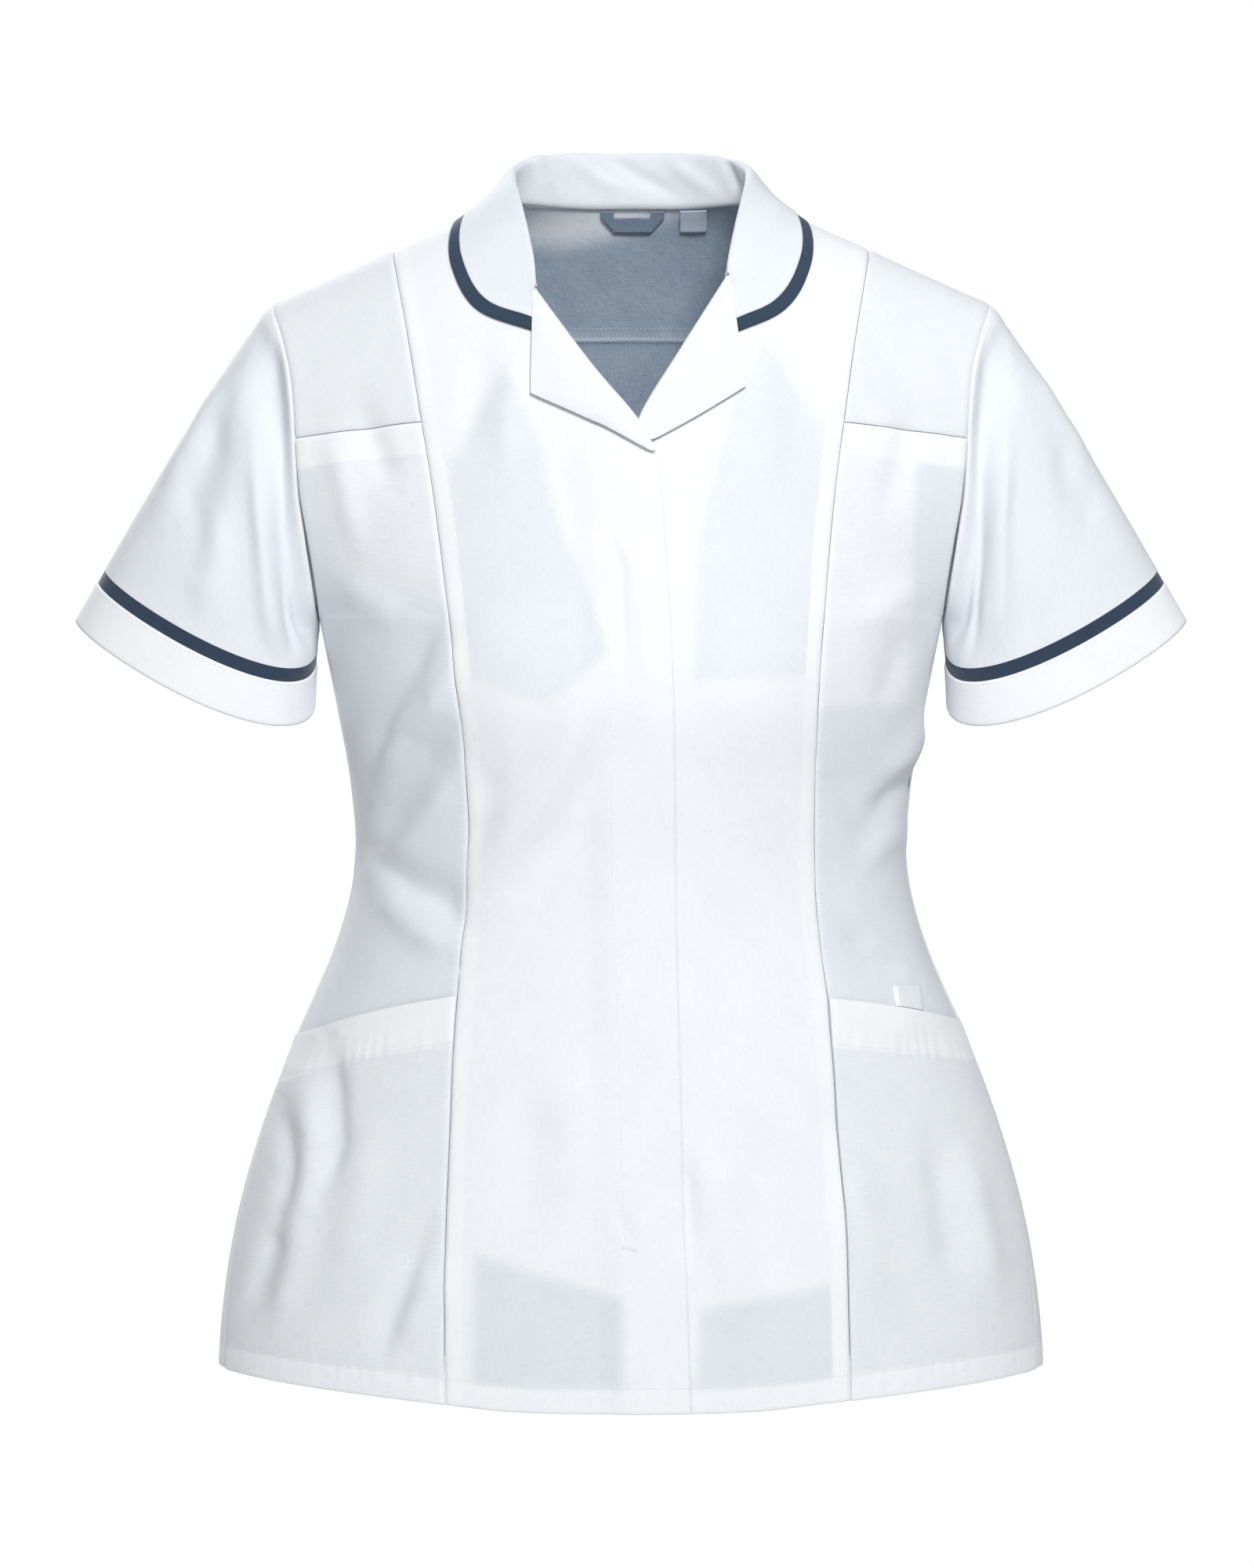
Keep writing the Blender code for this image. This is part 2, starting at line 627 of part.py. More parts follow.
def sleeve_point(side, turn, run):
    """Point on the sleeve: turn goes round it in degrees from the shoulder tip forwards, run is 0 to 1 down it."""
    start, end, outward = sleeve_ends(turn)
    bulge = SLEEVE["bulge"] * MM * math.cos(math.radians(turn) / 2.0) ** 2
    point = start.lerp(end, run) + outward * bulge * math.sin(math.pi * run ** SLEEVE["bulge_early"])
    return Vector((side * point.x, point.y, point.z))


def make_sleeves():
    """Sleeve from the armhole to the trim, navy trim, and cuff band."""
    def length(turn):
        start, end, _ = sleeve_ends(turn)
        return (end - start).length

    def band(first, last):
        """Place for a stretch of the sleeve between two distances (m) from its end, or the armhole for None."""
        def place_on(side):
            def place(share, down):
                turn = 360.0 * (share % 1.0)
                size = length(turn)
                top_gap = 1.6 * SEAM_GAP + ARMHOLE_TOP_GAP * max(0.0, math.cos(math.radians(turn)))
                start = top_gap / size if first is None else 1.0 - first / size
                end = 1.0 - last / size
                return sleeve_point(side, turn, start + (end - start) * down)
            return place
        return place_on

    gap = 0.75 * SEAM_GAP
    cuff_and_trim = CUFF_WIDTH + TRIM_WIDTH
    pieces = (
        ("sleeve_", "sleeve", band(None, cuff_and_trim + gap), white_cloth()),
        ("sleeve_trim_", "trim", band(cuff_and_trim - gap, CUFF_WIDTH + gap), navy_cloth()),
        ("cuff_", "band", band(CUFF_WIDTH - gap, 0.0), white_cloth()),
    )
    axis_top = (SLEEVE["outer"] + SLEEVE["inner"]) / 2.0 * MM
    for side in (RIGHT, LEFT):
        axis = Vector((side * axis_top.x, 0.0, axis_top.z))
        for prefix, kind, place_on, cloth_material in pieces:
            cloth(
                prefix + SIDE_NAMES[side], CELLS[kind], place_on(side),
                lambda point, middle=axis: point - middle, cloth_material, closed=True,
            )


def body_hull():
    """Search tree over the outside of the body, for resting the collar on it."""
    bm = bmesh.new()
    across_cells, row_cells = CELLS["hull"]
    for face in (FRONT, BACK):
        sheet = bmesh.ops.create_grid(bm, x_segments=across_cells, y_segments=row_cells, size=1.0)
        for vert in sheet["verts"]:
            across, row = vert.co.x, (1.0 - vert.co.y) / 2.0 * UNDERARM_ROW
            vert.co = body_point(face, row, across)
    tree = BVHTree.FromBMesh(bm)
    bm.free()
    return tree


def rest_on_body(tree, point, clear, pull=False):
    """Point moved out until it is clear of the body, or pulled down to that height as well."""
    spot, _, _, _ = tree.find_nearest(point)
    away = point - spot
    outward = from_centre(spot)
    height = away.length if away.dot(outward) > 0.0 else -away.length
    if height >= clear and not pull:
        return point
    direction = away.normalized() if height > 0.2 * MM else outward.normalized()
    return spot + direction * clear


def collar_section(neck, roll, edge):
    """Points of a section of the collar, from the neck seam over the roll to the outer edge."""
    up = (roll - (neck + edge) / 2.0).normalized()
    across = edge - neck
    out = (across - up * across.dot(up)).normalized()
    radius = min(ROLL_RADIUS, 0.4 * (roll - neck).length)
    centre = roll - up * radius
    points = [neck, neck.lerp(centre - out * radius, 0.5)]
    for angle in (180.0, 125.0, 70.0, 15.0):
        swing = math.radians(angle)
        points.append(centre + out * radius * math.cos(swing) + up * radius * math.sin(swing))
    last = points[-1]
    points += [last.lerp(edge, share) for share in (0.25, 0.5, 0.72, 1.0)]
    return points


def make_collar():
    """Collar and its navy trim, each swept from the right front end round the back to the left front end."""
    tree = body_hull()
    clear = WALL / 2.0 + LAYER_GAP + COLLAR_EASE
    count = len(COLLAR)

    def stations(side):
        return COLLAR + (COLLAR_END[side],)

    def neck_spot(side, station):
        """Start of the collar over the neckline, in mm, moved a little towards the middle of the neck."""
        if station.face == BACK:
            spot = body_mm(BACK, neckline_row(station.neck), across_at_x(BACK, neckline_row(station.neck), station.neck))
        else:
            edge = EDGE_RIGHT if side == RIGHT else EDGE_LEFT
            spot = body_mm(FRONT, station.neck, across_on_line(FRONT, station.neck, lambda z: follow(edge, z)))
            spot.x = abs(spot.x)
        return spot + (NECK_CENTRE - spot).normalized() * STAND_CLEAR

    spots = {
        (side, name): [
            neck_spot(side, station) if name == "neck" else Vector(getattr(station, name))
            for station in stations(side)
        ]
        for side in (RIGHT, LEFT) for name in ("neck", "roll", "edge")
    }

    def line(side, name, share):
        runs = []
        for axis in range(3):
            values = [spot[axis] for spot in spots[side, name]]
            mirrored = values[1] if axis else -values[1]
            runs.append([Mark(-1.0 / count, mirrored)] + [Mark(i / count, value) for i, value in enumerate(values)])
        point = Vector([follow(run, share) for run in runs]) * MM
        return Vector((side * point.x, point.y, point.z))

    def section(share):
        side = RIGHT if share < 0.5 else LEFT
        out = abs(share - 0.5) * 2.0
        neck = line(side, "neck", out)
        roll = line(side, "roll", out)
        edge = rest_on_body(tree, line(side, "edge", out), clear, pull=True)
        points = collar_section(neck, roll, edge)
        resting = [rest_on_body(tree, point, clear) for point in points[4:]]
        return points[:4] + resting

    def before_edge(points, distance):
        """Point of a section at a distance (m) before its outer edge."""
        for outer, inner in zip(points[::-1], points[-2::-1]):
            length = (outer - inner).length
            if distance <= length:
                return outer.lerp(inner, distance / length)
            distance -= length
        return points[0]

    def collar_place(share, down):
        points = section(share)
        rows = CELLS["collar"][1]
        index = int(down * rows + 0.5)
        if index < rows - 1:
            return points[index]
        end = before_edge(points, TRIM_WIDTH + SEAM_GAP / 2.0)
        return end if index == rows else points[rows - 2].lerp(end, 0.5)

    def trim_place(share, down):
        return before_edge(section(share), (TRIM_WIDTH - SEAM_GAP / 2.0) * (1.0 - down))

    cloth("collar", CELLS["collar"], collar_place, from_centre, white_cloth(), centred=True)
    cloth("collar_trim", CELLS["collar_trim"], trim_place, from_centre, navy_cloth(), centred=True)


def clear_scene():
    for found in list(bpy.data.objects):
        bpy.data.objects.remove(found, do_unlink=True)


def main():
    clear_scene()
    collection = bpy.data.collections.new(OBJECT_NAME)
    bpy.context.scene.collection.children.link(collection)
    make_fronts()
    make_side_fronts()
    make_pen_pocket()
    make_zip()
    make_lapel(RIGHT, RIGHT_LAPEL)
    make_lapel(LEFT, LEFT_LAPEL)
    make_back()
    make_labels()
    make_sleeves()
    make_collar()


main()
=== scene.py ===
import logging
import math
from contextlib import contextmanager
from dataclasses import dataclass, field
from enum import Enum
from typing import Any, Callable, Iterator, Optional, Sequence, Union

import bmesh
import bpy
import numpy as np
from mathutils import Matrix, Vector
from mathutils.bvhtree import BVHTree


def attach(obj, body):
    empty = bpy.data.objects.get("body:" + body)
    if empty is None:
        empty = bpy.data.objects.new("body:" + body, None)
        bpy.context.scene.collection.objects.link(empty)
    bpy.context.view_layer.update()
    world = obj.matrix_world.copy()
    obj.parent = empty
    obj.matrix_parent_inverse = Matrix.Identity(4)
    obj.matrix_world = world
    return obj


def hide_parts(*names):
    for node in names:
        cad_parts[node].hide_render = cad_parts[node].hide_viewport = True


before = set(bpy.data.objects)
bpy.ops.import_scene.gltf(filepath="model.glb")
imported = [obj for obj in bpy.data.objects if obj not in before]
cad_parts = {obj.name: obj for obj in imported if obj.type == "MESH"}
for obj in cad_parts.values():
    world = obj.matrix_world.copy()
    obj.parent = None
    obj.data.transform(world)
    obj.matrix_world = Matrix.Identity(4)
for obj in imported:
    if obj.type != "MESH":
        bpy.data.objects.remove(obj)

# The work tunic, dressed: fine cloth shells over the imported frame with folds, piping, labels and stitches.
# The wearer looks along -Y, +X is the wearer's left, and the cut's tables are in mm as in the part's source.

logging.basicConfig(level=logging.INFO, format="%(levelname)s %(message)s")
log = logging.getLogger("tunic")

MM = 0.001
# Share of a panel's layers that lightens the painted shade on its wrong side, and sizes of the narrow cells
# beside a seam.
INSIDE_SHADE_LIFT = 0.12
SEAM_CELLS = (0.16, 0.2, 0.28, 0.42, 0.65)
Array = np.ndarray
RowLine = Callable[[Array], Array]
Level = Callable[[Array], Array]
Limit = Callable[[RowLine, tuple[int, ...]], Array]


class Face(Enum):
    """Front or back of the body; the value is the way it faces along -Y."""

    FRONT = 1
    BACK = -1


class Side(Enum):
    """The wearer's right or left; the value is its sign along X."""

    RIGHT = -1
    LEFT = 1

    @property
    def word(self) -> str:
        """Word that ends a piece's name."""
        return self.name.lower()


class Held(Enum):
    HUNG = "hung"
    LAID = "laid"
    FOLDED = "folded"


def ease(value: Array, low: float, high: float) -> Array:
    """Smooth step.

    Args:
        value: Numbers to map.
        low: Where the step leaves 0.
        high: Where the step reaches 1.

    Returns:
        0 to 1 for each number.
    """
    t = np.clip((np.asarray(value, dtype=float) - low) / (high - low), 0.0, 1.0)
    return t * t * (3.0 - 2.0 * t)


def bell(distance: Array, width: Union[float, Array]) -> Array:
    """Bell curve: 1 at no distance, fading out over a width."""
    return np.exp(-((distance / width) ** 2))


def constant(value: float) -> Callable[..., Array]:
    """Function that gives one value wherever it is asked."""
    return lambda *places: np.full(np.shape(places[0]), value)


def unit(vectors: Array, least: float = 1e-9) -> Array:
    """Vectors scaled to length 1."""
    return vectors / np.maximum(np.linalg.norm(vectors, axis=-1, keepdims=True), least)


def run_of(points: Array) -> Array:
    """Distance of each point of a line from its first one, along the line."""
    return np.concatenate([[0.0], np.cumsum(np.linalg.norm(np.diff(points, axis=0), axis=1))])


def along_line(at: Union[float, Array], run: Array, rows: Array) -> Array:
    """Points, or other rows of numbers, read off at distances along a line."""
    return np.stack([np.interp(at, run, column) for column in rows.T], axis=-1)


def linked(name: str, data: bpy.types.ID) -> bpy.types.Object:
    """New object in the scene.

    Args:
        name: Its name.
        data: Its mesh, light or camera.

    Returns:
        The object.
    """
    made = bpy.data.objects.new(name, data)
    bpy.context.scene.collection.objects.link(made)
    return made


@contextmanager
def editing(mesh: bpy.types.Mesh) -> Iterator[bmesh.types.BMesh]:
    """Open a mesh as a bmesh and write it back at the end.

    Args:
        mesh: The mesh.

    Yields:
        Its bmesh.
    """
    bm = bmesh.new()
    bm.from_mesh(mesh)
    yield bm
    bm.to_mesh(mesh)
    bm.free()


def split(bm: bmesh.types.BMesh, place: Sequence[float], way: Sequence[float], clear: bool = False) -> None:
    """Cut a bmesh along the plane through a place, and clear what lies beyond it where asked."""
    whole = [*bm.verts, *bm.edges, *bm.faces]
    bmesh.ops.bisect_plane(bm, geom=whole, plane_co=place, plane_no=way, dist=1e-6, clear_outer=clear)


@dataclass(frozen=True)
class Curve:
    """Smooth curve through a short table of (place, value), broken where a place is a corner."""

    marks: tuple[tuple[float, float], ...]
    corners: tuple[int, ...] = ()

    def __call__(self, at: Union[float, Array]) -> Array:
        """Value at each place.

        Args:
            at: Places along the table's first column.

        Returns:
            Values on the curve, held at its ends.
        """
        places = np.array([mark[0] for mark in self.marks], dtype=float)
        values = np.array([mark[1] for mark in self.marks], dtype=float)
        last = len(places) - 1
        index = np.arange(last)
        before = np.where(np.isin(index, self.corners), index, np.maximum(index - 1, 0))
        after = np.where(np.isin(index + 1, self.corners), index + 1, np.minimum(index + 2, last))
        first = (values[index + 1] - values[before]) / (places[index + 1] - places[before])
        second = (values[after] - values[index]) / (places[after] - places[index])
        x = np.clip(np.asarray(at, dtype=float), places[0], places[last])
        low = np.clip(np.searchsorted(places, x, side="right") - 1, 0, last - 1)
        span = places[low + 1] - places[low]
        t = (x - places[low]) / span
        return (
            values[low] * (2 * t**3 - 3 * t**2 + 1)
            + first[low] * span * (t**3 - 2 * t**2 + t)
            + values[low + 1] * (3 * t**2 - 2 * t**3)
            + second[low] * span * (t**3 - t**2)
        )


@dataclass(frozen=True)
class UpperRow:
    """Centre line points of one row above the underarm, in mm."""

    front_y: float
    front_z: float
    back_y: float
    back_z: float


@dataclass(frozen=True)
class LowerRow:
    """Sizes of one row below the underarm, in mm."""

    z: float
    half: float
    front_y: float
    back_y: float
    seam_y: float


@dataclass(frozen=True)
class Armhole:
    """Armhole: an ellipse seen from the side, with its distance from the centre over the height."""

    top: float = -57.0
    bottom: float = -245.0
    front: float = 51.0
    back: float = 49.0
    x: Curve = Curve((
        (-245, 186.5), (-225, 188.5), (-200, 192), (-175, 196), (-150, 198),
        (-125, 199.5), (-100, 202.5), (-78, 208), (-57, 215.5),
    ))

    def point(self, face: Face, turn: Array) -> Array:
        """Points of the armhole.

        Args:
            face: Front or back half.
            turn: Degrees from the shoulder tip, 180 at the underarm.

        Returns:
            Points in mm on the wearer's left.
        """
        middle = (self.top + self.bottom) / 2.0
        swing = np.radians(np.asarray(turn, dtype=float))
        z = middle + (self.top - middle) * np.cos(swing)
        reach = self.front if face is Face.FRONT else self.back
        return np.stack([self.x(z), -face.value * reach * np.sin(swing), z], axis=-1)


@dataclass(frozen=True)
class Fold:
    """One crease: a soft trough or ridge along a path over x and z, in mm.

    A positive height is a ridge. Each end of the path fades out, and the skew moves the steep side.
    """

    path: tuple[tuple[float, float], ...]
    height: float
    width: float
    fade: float = 0.3
    skew: float = 0.0

    def heights(self, x: Array, z: Array) -> Array:
        """Height of the crease at places on the cloth.

        Args:
            x: Distance from the centre, in mm.
            z: Height, in mm.

        Returns:
            Heights in mm.
        """
        points = np.array(self.path, dtype=float)
        steps = np.linalg.norm(np.diff(points, axis=0), axis=1)
        starts = np.concatenate([[0.0], np.cumsum(steps)])
        best = np.full(x.shape, np.inf)
        run = np.zeros(x.shape)
        off = np.zeros(x.shape)
        for i, length in enumerate(steps):
            ux, uz = (points[i + 1] - points[i]) / length
            dx, dz = x - points[i][0], z - points[i][1]
            along = np.clip(dx * ux + dz * uz, 0.0, length)
            gap_x, gap_z = dx - along * ux, dz - along * uz
            distance = np.hypot(gap_x, gap_z)
            nearer = distance < best
            best = np.where(nearer, distance, best)
            run = np.where(nearer, starts[i] + along, run)
            off = np.where(nearer, dx * uz - dz * ux, off)
        share = run / starts[-1]
        fade = ease(share, 0.0, self.fade) * (1.0 - ease(share, 1.0 - self.fade, 1.0))
        side = np.where(off > 0.0, 1.0 + self.skew, 1.0 - self.skew)
        end = np.where((share <= 0.0) | (share >= 1.0), bell(best, 0.8 * self.width), 1.0)
        return self.height * (0.25 + 0.75 * fade) * bell(best, self.width * side) * end


@dataclass(frozen=True)
class Folds:
    """All creases of one face."""

    creases: tuple[Fold, ...]
    depth: float = 1.5

    def heights(self, x: Array, z: Array) -> Array:
        """Sum of all creases at places given in mm."""
        total = np.zeros(np.shape(x))
        for crease in self.creases:
            total = total + crease.heights(x, z)
        return total * self.depth


@dataclass(frozen=True)
class Patch:
    """Area over x and z, in mm, where the cloth lies in more or fewer layers than the rest of its panel, or
    where its painted shade differs.
    """

    outline: tuple[tuple[float, float], ...]
    share: float
    soft: float = 3.0

    def cover(self, x: Array, z: Array) -> Array:
        """How far places lie inside the area.

        Args:
            x: Distance from the centre, in mm.
            z: Height, in mm.

        Returns:
            0 outside to 1 inside, with a soft edge.
        """
        inside = np.zeros(x.shape, dtype=bool)
        nearest = np.full(x.shape, np.inf)
        for (ax, az), (bx, bz) in zip(self.outline, self.outline[1:] + self.outline[:1]):
            reach = ax + (z - az) * (bx - ax) / ((bz - az) or 1.0)
            inside ^= ((az > z) != (bz > z)) & (x < reach)
            along = ((x - ax) * (bx - ax) + (z - az) * (bz - az)) / ((bx - ax) ** 2 + (bz - az) ** 2)
            along = np.clip(along, 0.0, 1.0)
            nearest = np.minimum(nearest, np.hypot(x - ax - along * (bx - ax), z - az - along * (bz - az)))
        return ease(np.where(inside, nearest, -nearest), -self.soft, self.soft)


def laid_over(layers: Array, patches: Sequence[Patch], x: Array, z: Array) -> Array:
    """Layers of a panel, or its painted shade, with the areas laid over them that have their own.

    Args:
        layers: Layers over the panel.
        patches: Areas, the last on top.
        x: Distance from the centre, in mm.
        z: Height, in mm.

    Returns:
        The layers with the areas.
    """
    for patch in patches:
        layers = layers + (patch.share - layers) * patch.cover(x, z)
    return layers


@dataclass(frozen=True)
class BodyForm:
    """The outside of the tunic's body.

    Rows run from the centre to the armhole or side seam, numbered from 0 at the shoulder seam to the last one
    below the hem. A share across is 0 at the centre and 1 or -1 at the edge.
    """

    upper: tuple[UpperRow, ...]
    lower: tuple[LowerRow, ...]
    armhole: Armhole
    folds: dict[Face, Folds]
    least_wrap: float = 0.25
    bust_height: float = 9.0
    bust_at: tuple[float, float] = (88.0, -285.0)
    bust_spread: tuple[float, float] = (48.0, 52.0)
    bend: float = 0.8
    bend_share: float = 0.4

    @property
    def underarm(self) -> int:
        """Number of the row at the underarm."""
        return len(self.upper) - 1

    @property
    def last(self) -> int:
        """Number of the last row."""
        return self.underarm + len(self.lower)

    def middle(self, column: str) -> Curve:
        """Centre line over the row number, negative for the back.

        Args:
            column: "y" or "z".

        Returns:
            Curve from the back hem over the shoulder to the front hem.
        """
        name = {"y": ("front_y", "back_y"), "z": ("z", "z")}[column]
        back = [(-i, getattr(row, "back_" + column)) for i, row in enumerate(self.upper)][:0:-1]
        front = [(i, getattr(row, "front_" + column)) for i, row in enumerate(self.upper)]
        numbers = range(self.underarm + 1, self.last + 1)
        low_back = [(-i, getattr(row, name[1])) for i, row in zip(numbers, self.lower)][::-1]
        low_front = [(i, getattr(row, name[0])) for i, row in zip(numbers, self.lower)]
        return Curve(tuple(low_back + back + front + low_front))

    def side_seam(self, column: str) -> Curve:
        """Side seam below the underarm over the row number, for x, y or z."""
        first = self.armhole.point(Face.FRONT, np.array(180.0))[0]
        start = {"x": float(first), "y": 0.0, "z": self.armhole.bottom}
        marks = [(self.underarm, start[column])]
        for i, row in enumerate(self.lower):
            inset = math.sqrt(1.0 - (row.seam_y / row.front_y) ** 2)
            values = {"x": row.half * inset, "y": row.seam_y, "z": row.z}
            marks.append((self.underarm + 1 + i, values[column]))
        return Curve(tuple(marks))

    def edge(self, face: Face, row: Array) -> Array:
        """Outer ends of rows, in mm on the wearer's left."""
        upper = self.armhole.point(face, np.minimum(row, self.underarm) * 180.0 / self.underarm)
        lower = np.stack([self.side_seam(axis)(row) for axis in "xyz"], axis=-1)
        return np.where((row <= self.underarm)[..., None], upper, lower)

    def wrap(self, face: Face, row: Array, edge: Array) -> tuple[Array, Array, Array]:
        """Angle that a row sweeps, and its depths on this face and the other.

        Args:
            face: Front or back.
            row: Row numbers.
            edge: Outer ends of the rows.

        Returns:
            Angle, own depth and far depth for each row.
        """
        y = self.middle("y")
        depth = np.abs(y(face.value * row))
        far = np.abs(y(-face.value * row))
        reach = -face.value * edge[..., 1]
        own = np.where(reach >= 0.0, depth, far)
        share = np.where(own > 0.0, reach / np.where(own > 0.0, own, 1.0), 1.0)
        return np.maximum(np.arccos(np.clip(share, -1.0, 1.0)), self.least_wrap), depth, far

    def point_mm(self, face: Face, row: Array, across: Array) -> Array:
        """Points of the plain form, in mm.

        Args:
            face: Front or back.
            row: Row numbers.
            across: Shares across.

        Returns:
            One point for each pair.
        """
        row, across = np.broadcast_arrays(np.asarray(row, dtype=float), np.asarray(across, dtype=float))
        edge = self.edge(face, row)
        wrap, depth, far = self.wrap(face, row, edge)
        angle = across * wrap
        x = edge[..., 0] * np.sin(angle) / np.sin(wrap)
        cosine = np.cos(angle)
        y = -face.value * cosine * np.where(cosine >= 0.0, depth, far)
        bend = 1.0 + self.bend * np.minimum(1.0, row / (self.bend_share * self.underarm))
        middle_z = self.middle("z")(face.value * row)
        z = middle_z + (edge[..., 2] - middle_z) * np.minimum(np.abs(x / edge[..., 0]), 1.0) ** bend
        if face is Face.FRONT:
            from_bust = ((np.abs(x) - self.bust_at[0]) / self.bust_spread[0]) ** 2
            from_bust = from_bust + ((z - self.bust_at[1]) / self.bust_spread[1]) ** 2
            y = y - self.bust_height * np.exp(-from_bust) * np.maximum(cosine, 0.0)
        return np.stack([x, y, z], axis=-1)

    def surface(
        self, face: Face, row: Array, across: Array, lift: Union[float, Array] = 0.0
    ) -> tuple[Array, Array]:
        """Points on the folded cloth and the way they face.

        Args:
            face: Front or back.
            row: Row numbers.
            across: Shares across.
            lift: Height over the body in mm.

        Returns:
            Points in metres and outward normals.
        """
        row = np.asarray(row, dtype=float)
        across = np.asarray(across, dtype=float)
        flat = self.point_mm(face, row, across)
        low, high = np.maximum(row - 0.05, 0.0), np.minimum(row + 0.05, self.last)
        down = self.point_mm(face, high, across) - self.point_mm(face, low, across)
        sideways = self.point_mm(face, row, across + 0.02) - self.point_mm(face, row, across - 0.02)
        normal = unit(np.cross(down, sideways) * face.value)
        height = np.asarray(lift) + self.folds[face].heights(flat[..., 0], flat[..., 2])
        return (flat + normal * height[..., None]) * MM, normal

    def across_at(self, face: Face, row: Array, x: Array) -> Array:
        """Share across at which rows reach x (mm)."""
        row = np.asarray(row, dtype=float)
        edge = self.edge(face, row)
        wrap = self.wrap(face, row, edge)[0]
        return np.arcsin(np.clip(x / edge[..., 0] * np.sin(wrap), -1.0, 1.0)) / wrap

    def line(self, face: Face, x_at: Callable[[Array], Array]) -> RowLine:
        """Across-line of a seam that gives x over z.

        Args:
            face: Front or back.
            x_at: Distance from the centre over the height, in mm.

        Returns:
            Share across over the row, from a fine table.
        """
        rows = np.linspace(0.0, self.last, 700)
        z = self.middle("z")(face.value * rows)
        across = np.zeros(rows.shape)
        for _ in range(8):
            across = self.across_at(face, rows, x_at(z))
            z = self.point_mm(face, rows, across)[..., 2]
        return lambda row: np.interp(row, rows, across)

    def edge_line(self, face: Face, side: Side, inset: float) -> RowLine:
        """Across-line along the armhole and side seam, inside it by inset (mm)."""
        rows = np.linspace(0.0, self.last, 700)
        edge = self.edge(face, rows)
        share = side.value * (1.0 - inset / (edge[..., 0] * self.wrap(face, rows, edge)[0]))
        return lambda row: np.interp(row, rows, share)

    def row_at(self, face: Face, across_of: RowLine, level: Level, shape: tuple[int, ...]) -> Array:
        """Rows at which columns come down to a level.

        Args:
            face: Front or back.
            across_of: Share across over the row, for all columns at once.
            level: Height over the distance from the centre.
            shape: Shape of the columns.

        Returns:
            One row for each column.
        """
        top, bottom = np.zeros(shape), np.full(shape, float(self.last))
        for _ in range(26):
            row = (top + bottom) / 2.0
            point = self.point_mm(face, row, across_of(row))
            above = point[..., 2] > level(np.abs(point[..., 0]))
            top, bottom = np.where(above, row, top), np.where(above, bottom, row)
        return (top + bottom) / 2.0

    def place(self, face: Face, x: Array, z: Array) -> tuple[Array, Array]:
        """Row and share across of places given by x and z in mm."""
        x, z = np.asarray(x, dtype=float), np.asarray(z, dtype=float)
        row = self.row_at(face, lambda rows: self.across_at(face, rows, x), lambda _: z, x.shape)
        return row, self.across_at(face, row, x)


@dataclass
class Grid:
    """Sheet of points, its outward normals and what varies over it."""

    points: Array
    normals: Array
    layers: Array
    closed: bool = False
    inner_layers: Optional[Array] = None
    rim_painted_shade: bool = False

    def lengths(self, axis: int) -> Array:
        """Distance in mm of each point from the first one of its row (axis 1) or column (axis 0)."""
        steps = np.linalg.norm(np.diff(self.points, axis=axis), axis=-1) / MM
        shape = list(steps.shape)
        shape[axis] = 1
        return np.concatenate([np.zeros(shape), np.cumsum(steps, axis=axis)], axis=axis)

    def from_edges(self) -> dict[str, Array]:
        """Distance in mm of each point from each edge of the sheet."""
        over, down = self.lengths(1), self.lengths(0)
        return {"inner": over, "outer": over[:, -1:] - over, "top": down, "bottom": down[-1:, :] - down}

    def raise_by(self, height: Array) -> None:
        """Move the points out along their normals by heights in mm."""
        self.points = self.points + self.normals * (height * MM)[..., None]

    def line_at(self, edge: str, distance: float) -> tuple[Array, Array]:
        """Line that runs beside an edge.

        Args:
            edge: "inner", "outer", "top" or "bottom".
            distance: Distance from that edge in mm.

        Returns:
            Points and normals along the line.
        """
        far, points, normals = self.from_edges()[edge], self.points, self.normals
        if edge in ("top", "bottom"):
            far, points, normals = far.T, points.transpose(1, 0, 2), normals.transpose(1, 0, 2)
        made = []
        for reach, *rows in zip(far, points, normals):
            order = np.argsort(reach)
            made.append([along_line(distance, reach[order], row[order]) for row in rows])
        return np.array(made)[:, 0], np.array(made)[:, 1]


class Maths:
    """Socket of a shader node with Python's operators, so that an expression adds its Math nodes."""

    def __init__(self, tree: bpy.types.NodeTree, value: Any) -> None:
        """Wrap a socket or a number of a node tree."""
        self.tree = tree
        self.value = value

    def _math(self, operation: str, first: Any, second: Any) -> "Maths":
        """Math node of one operation on two values."""
        made = self.tree.nodes.new("ShaderNodeMath")
        made.operation = operation
        for socket, given in zip(made.inputs, (first, second)):
            given = given.value if isinstance(given, Maths) else given
            if isinstance(given, (int, float)):
                socket.default_value = given
            else:
                self.tree.links.new(given, socket)
        return Maths(self.tree, made.outputs[0])

    def __add__(self, other: Any) -> "Maths":
        """Sum."""
        return self._math("ADD", self, other)

    def __radd__(self, other: Any) -> "Maths":
        """Sum with a number on the left."""
        return self._math("ADD", other, self)

    def __sub__(self, other: Any) -> "Maths":
        """Difference."""
        return self._math("SUBTRACT", self, other)

    def __mul__(self, other: Any) -> "Maths":
        """Product."""
        return self._math("MULTIPLY", self, other)


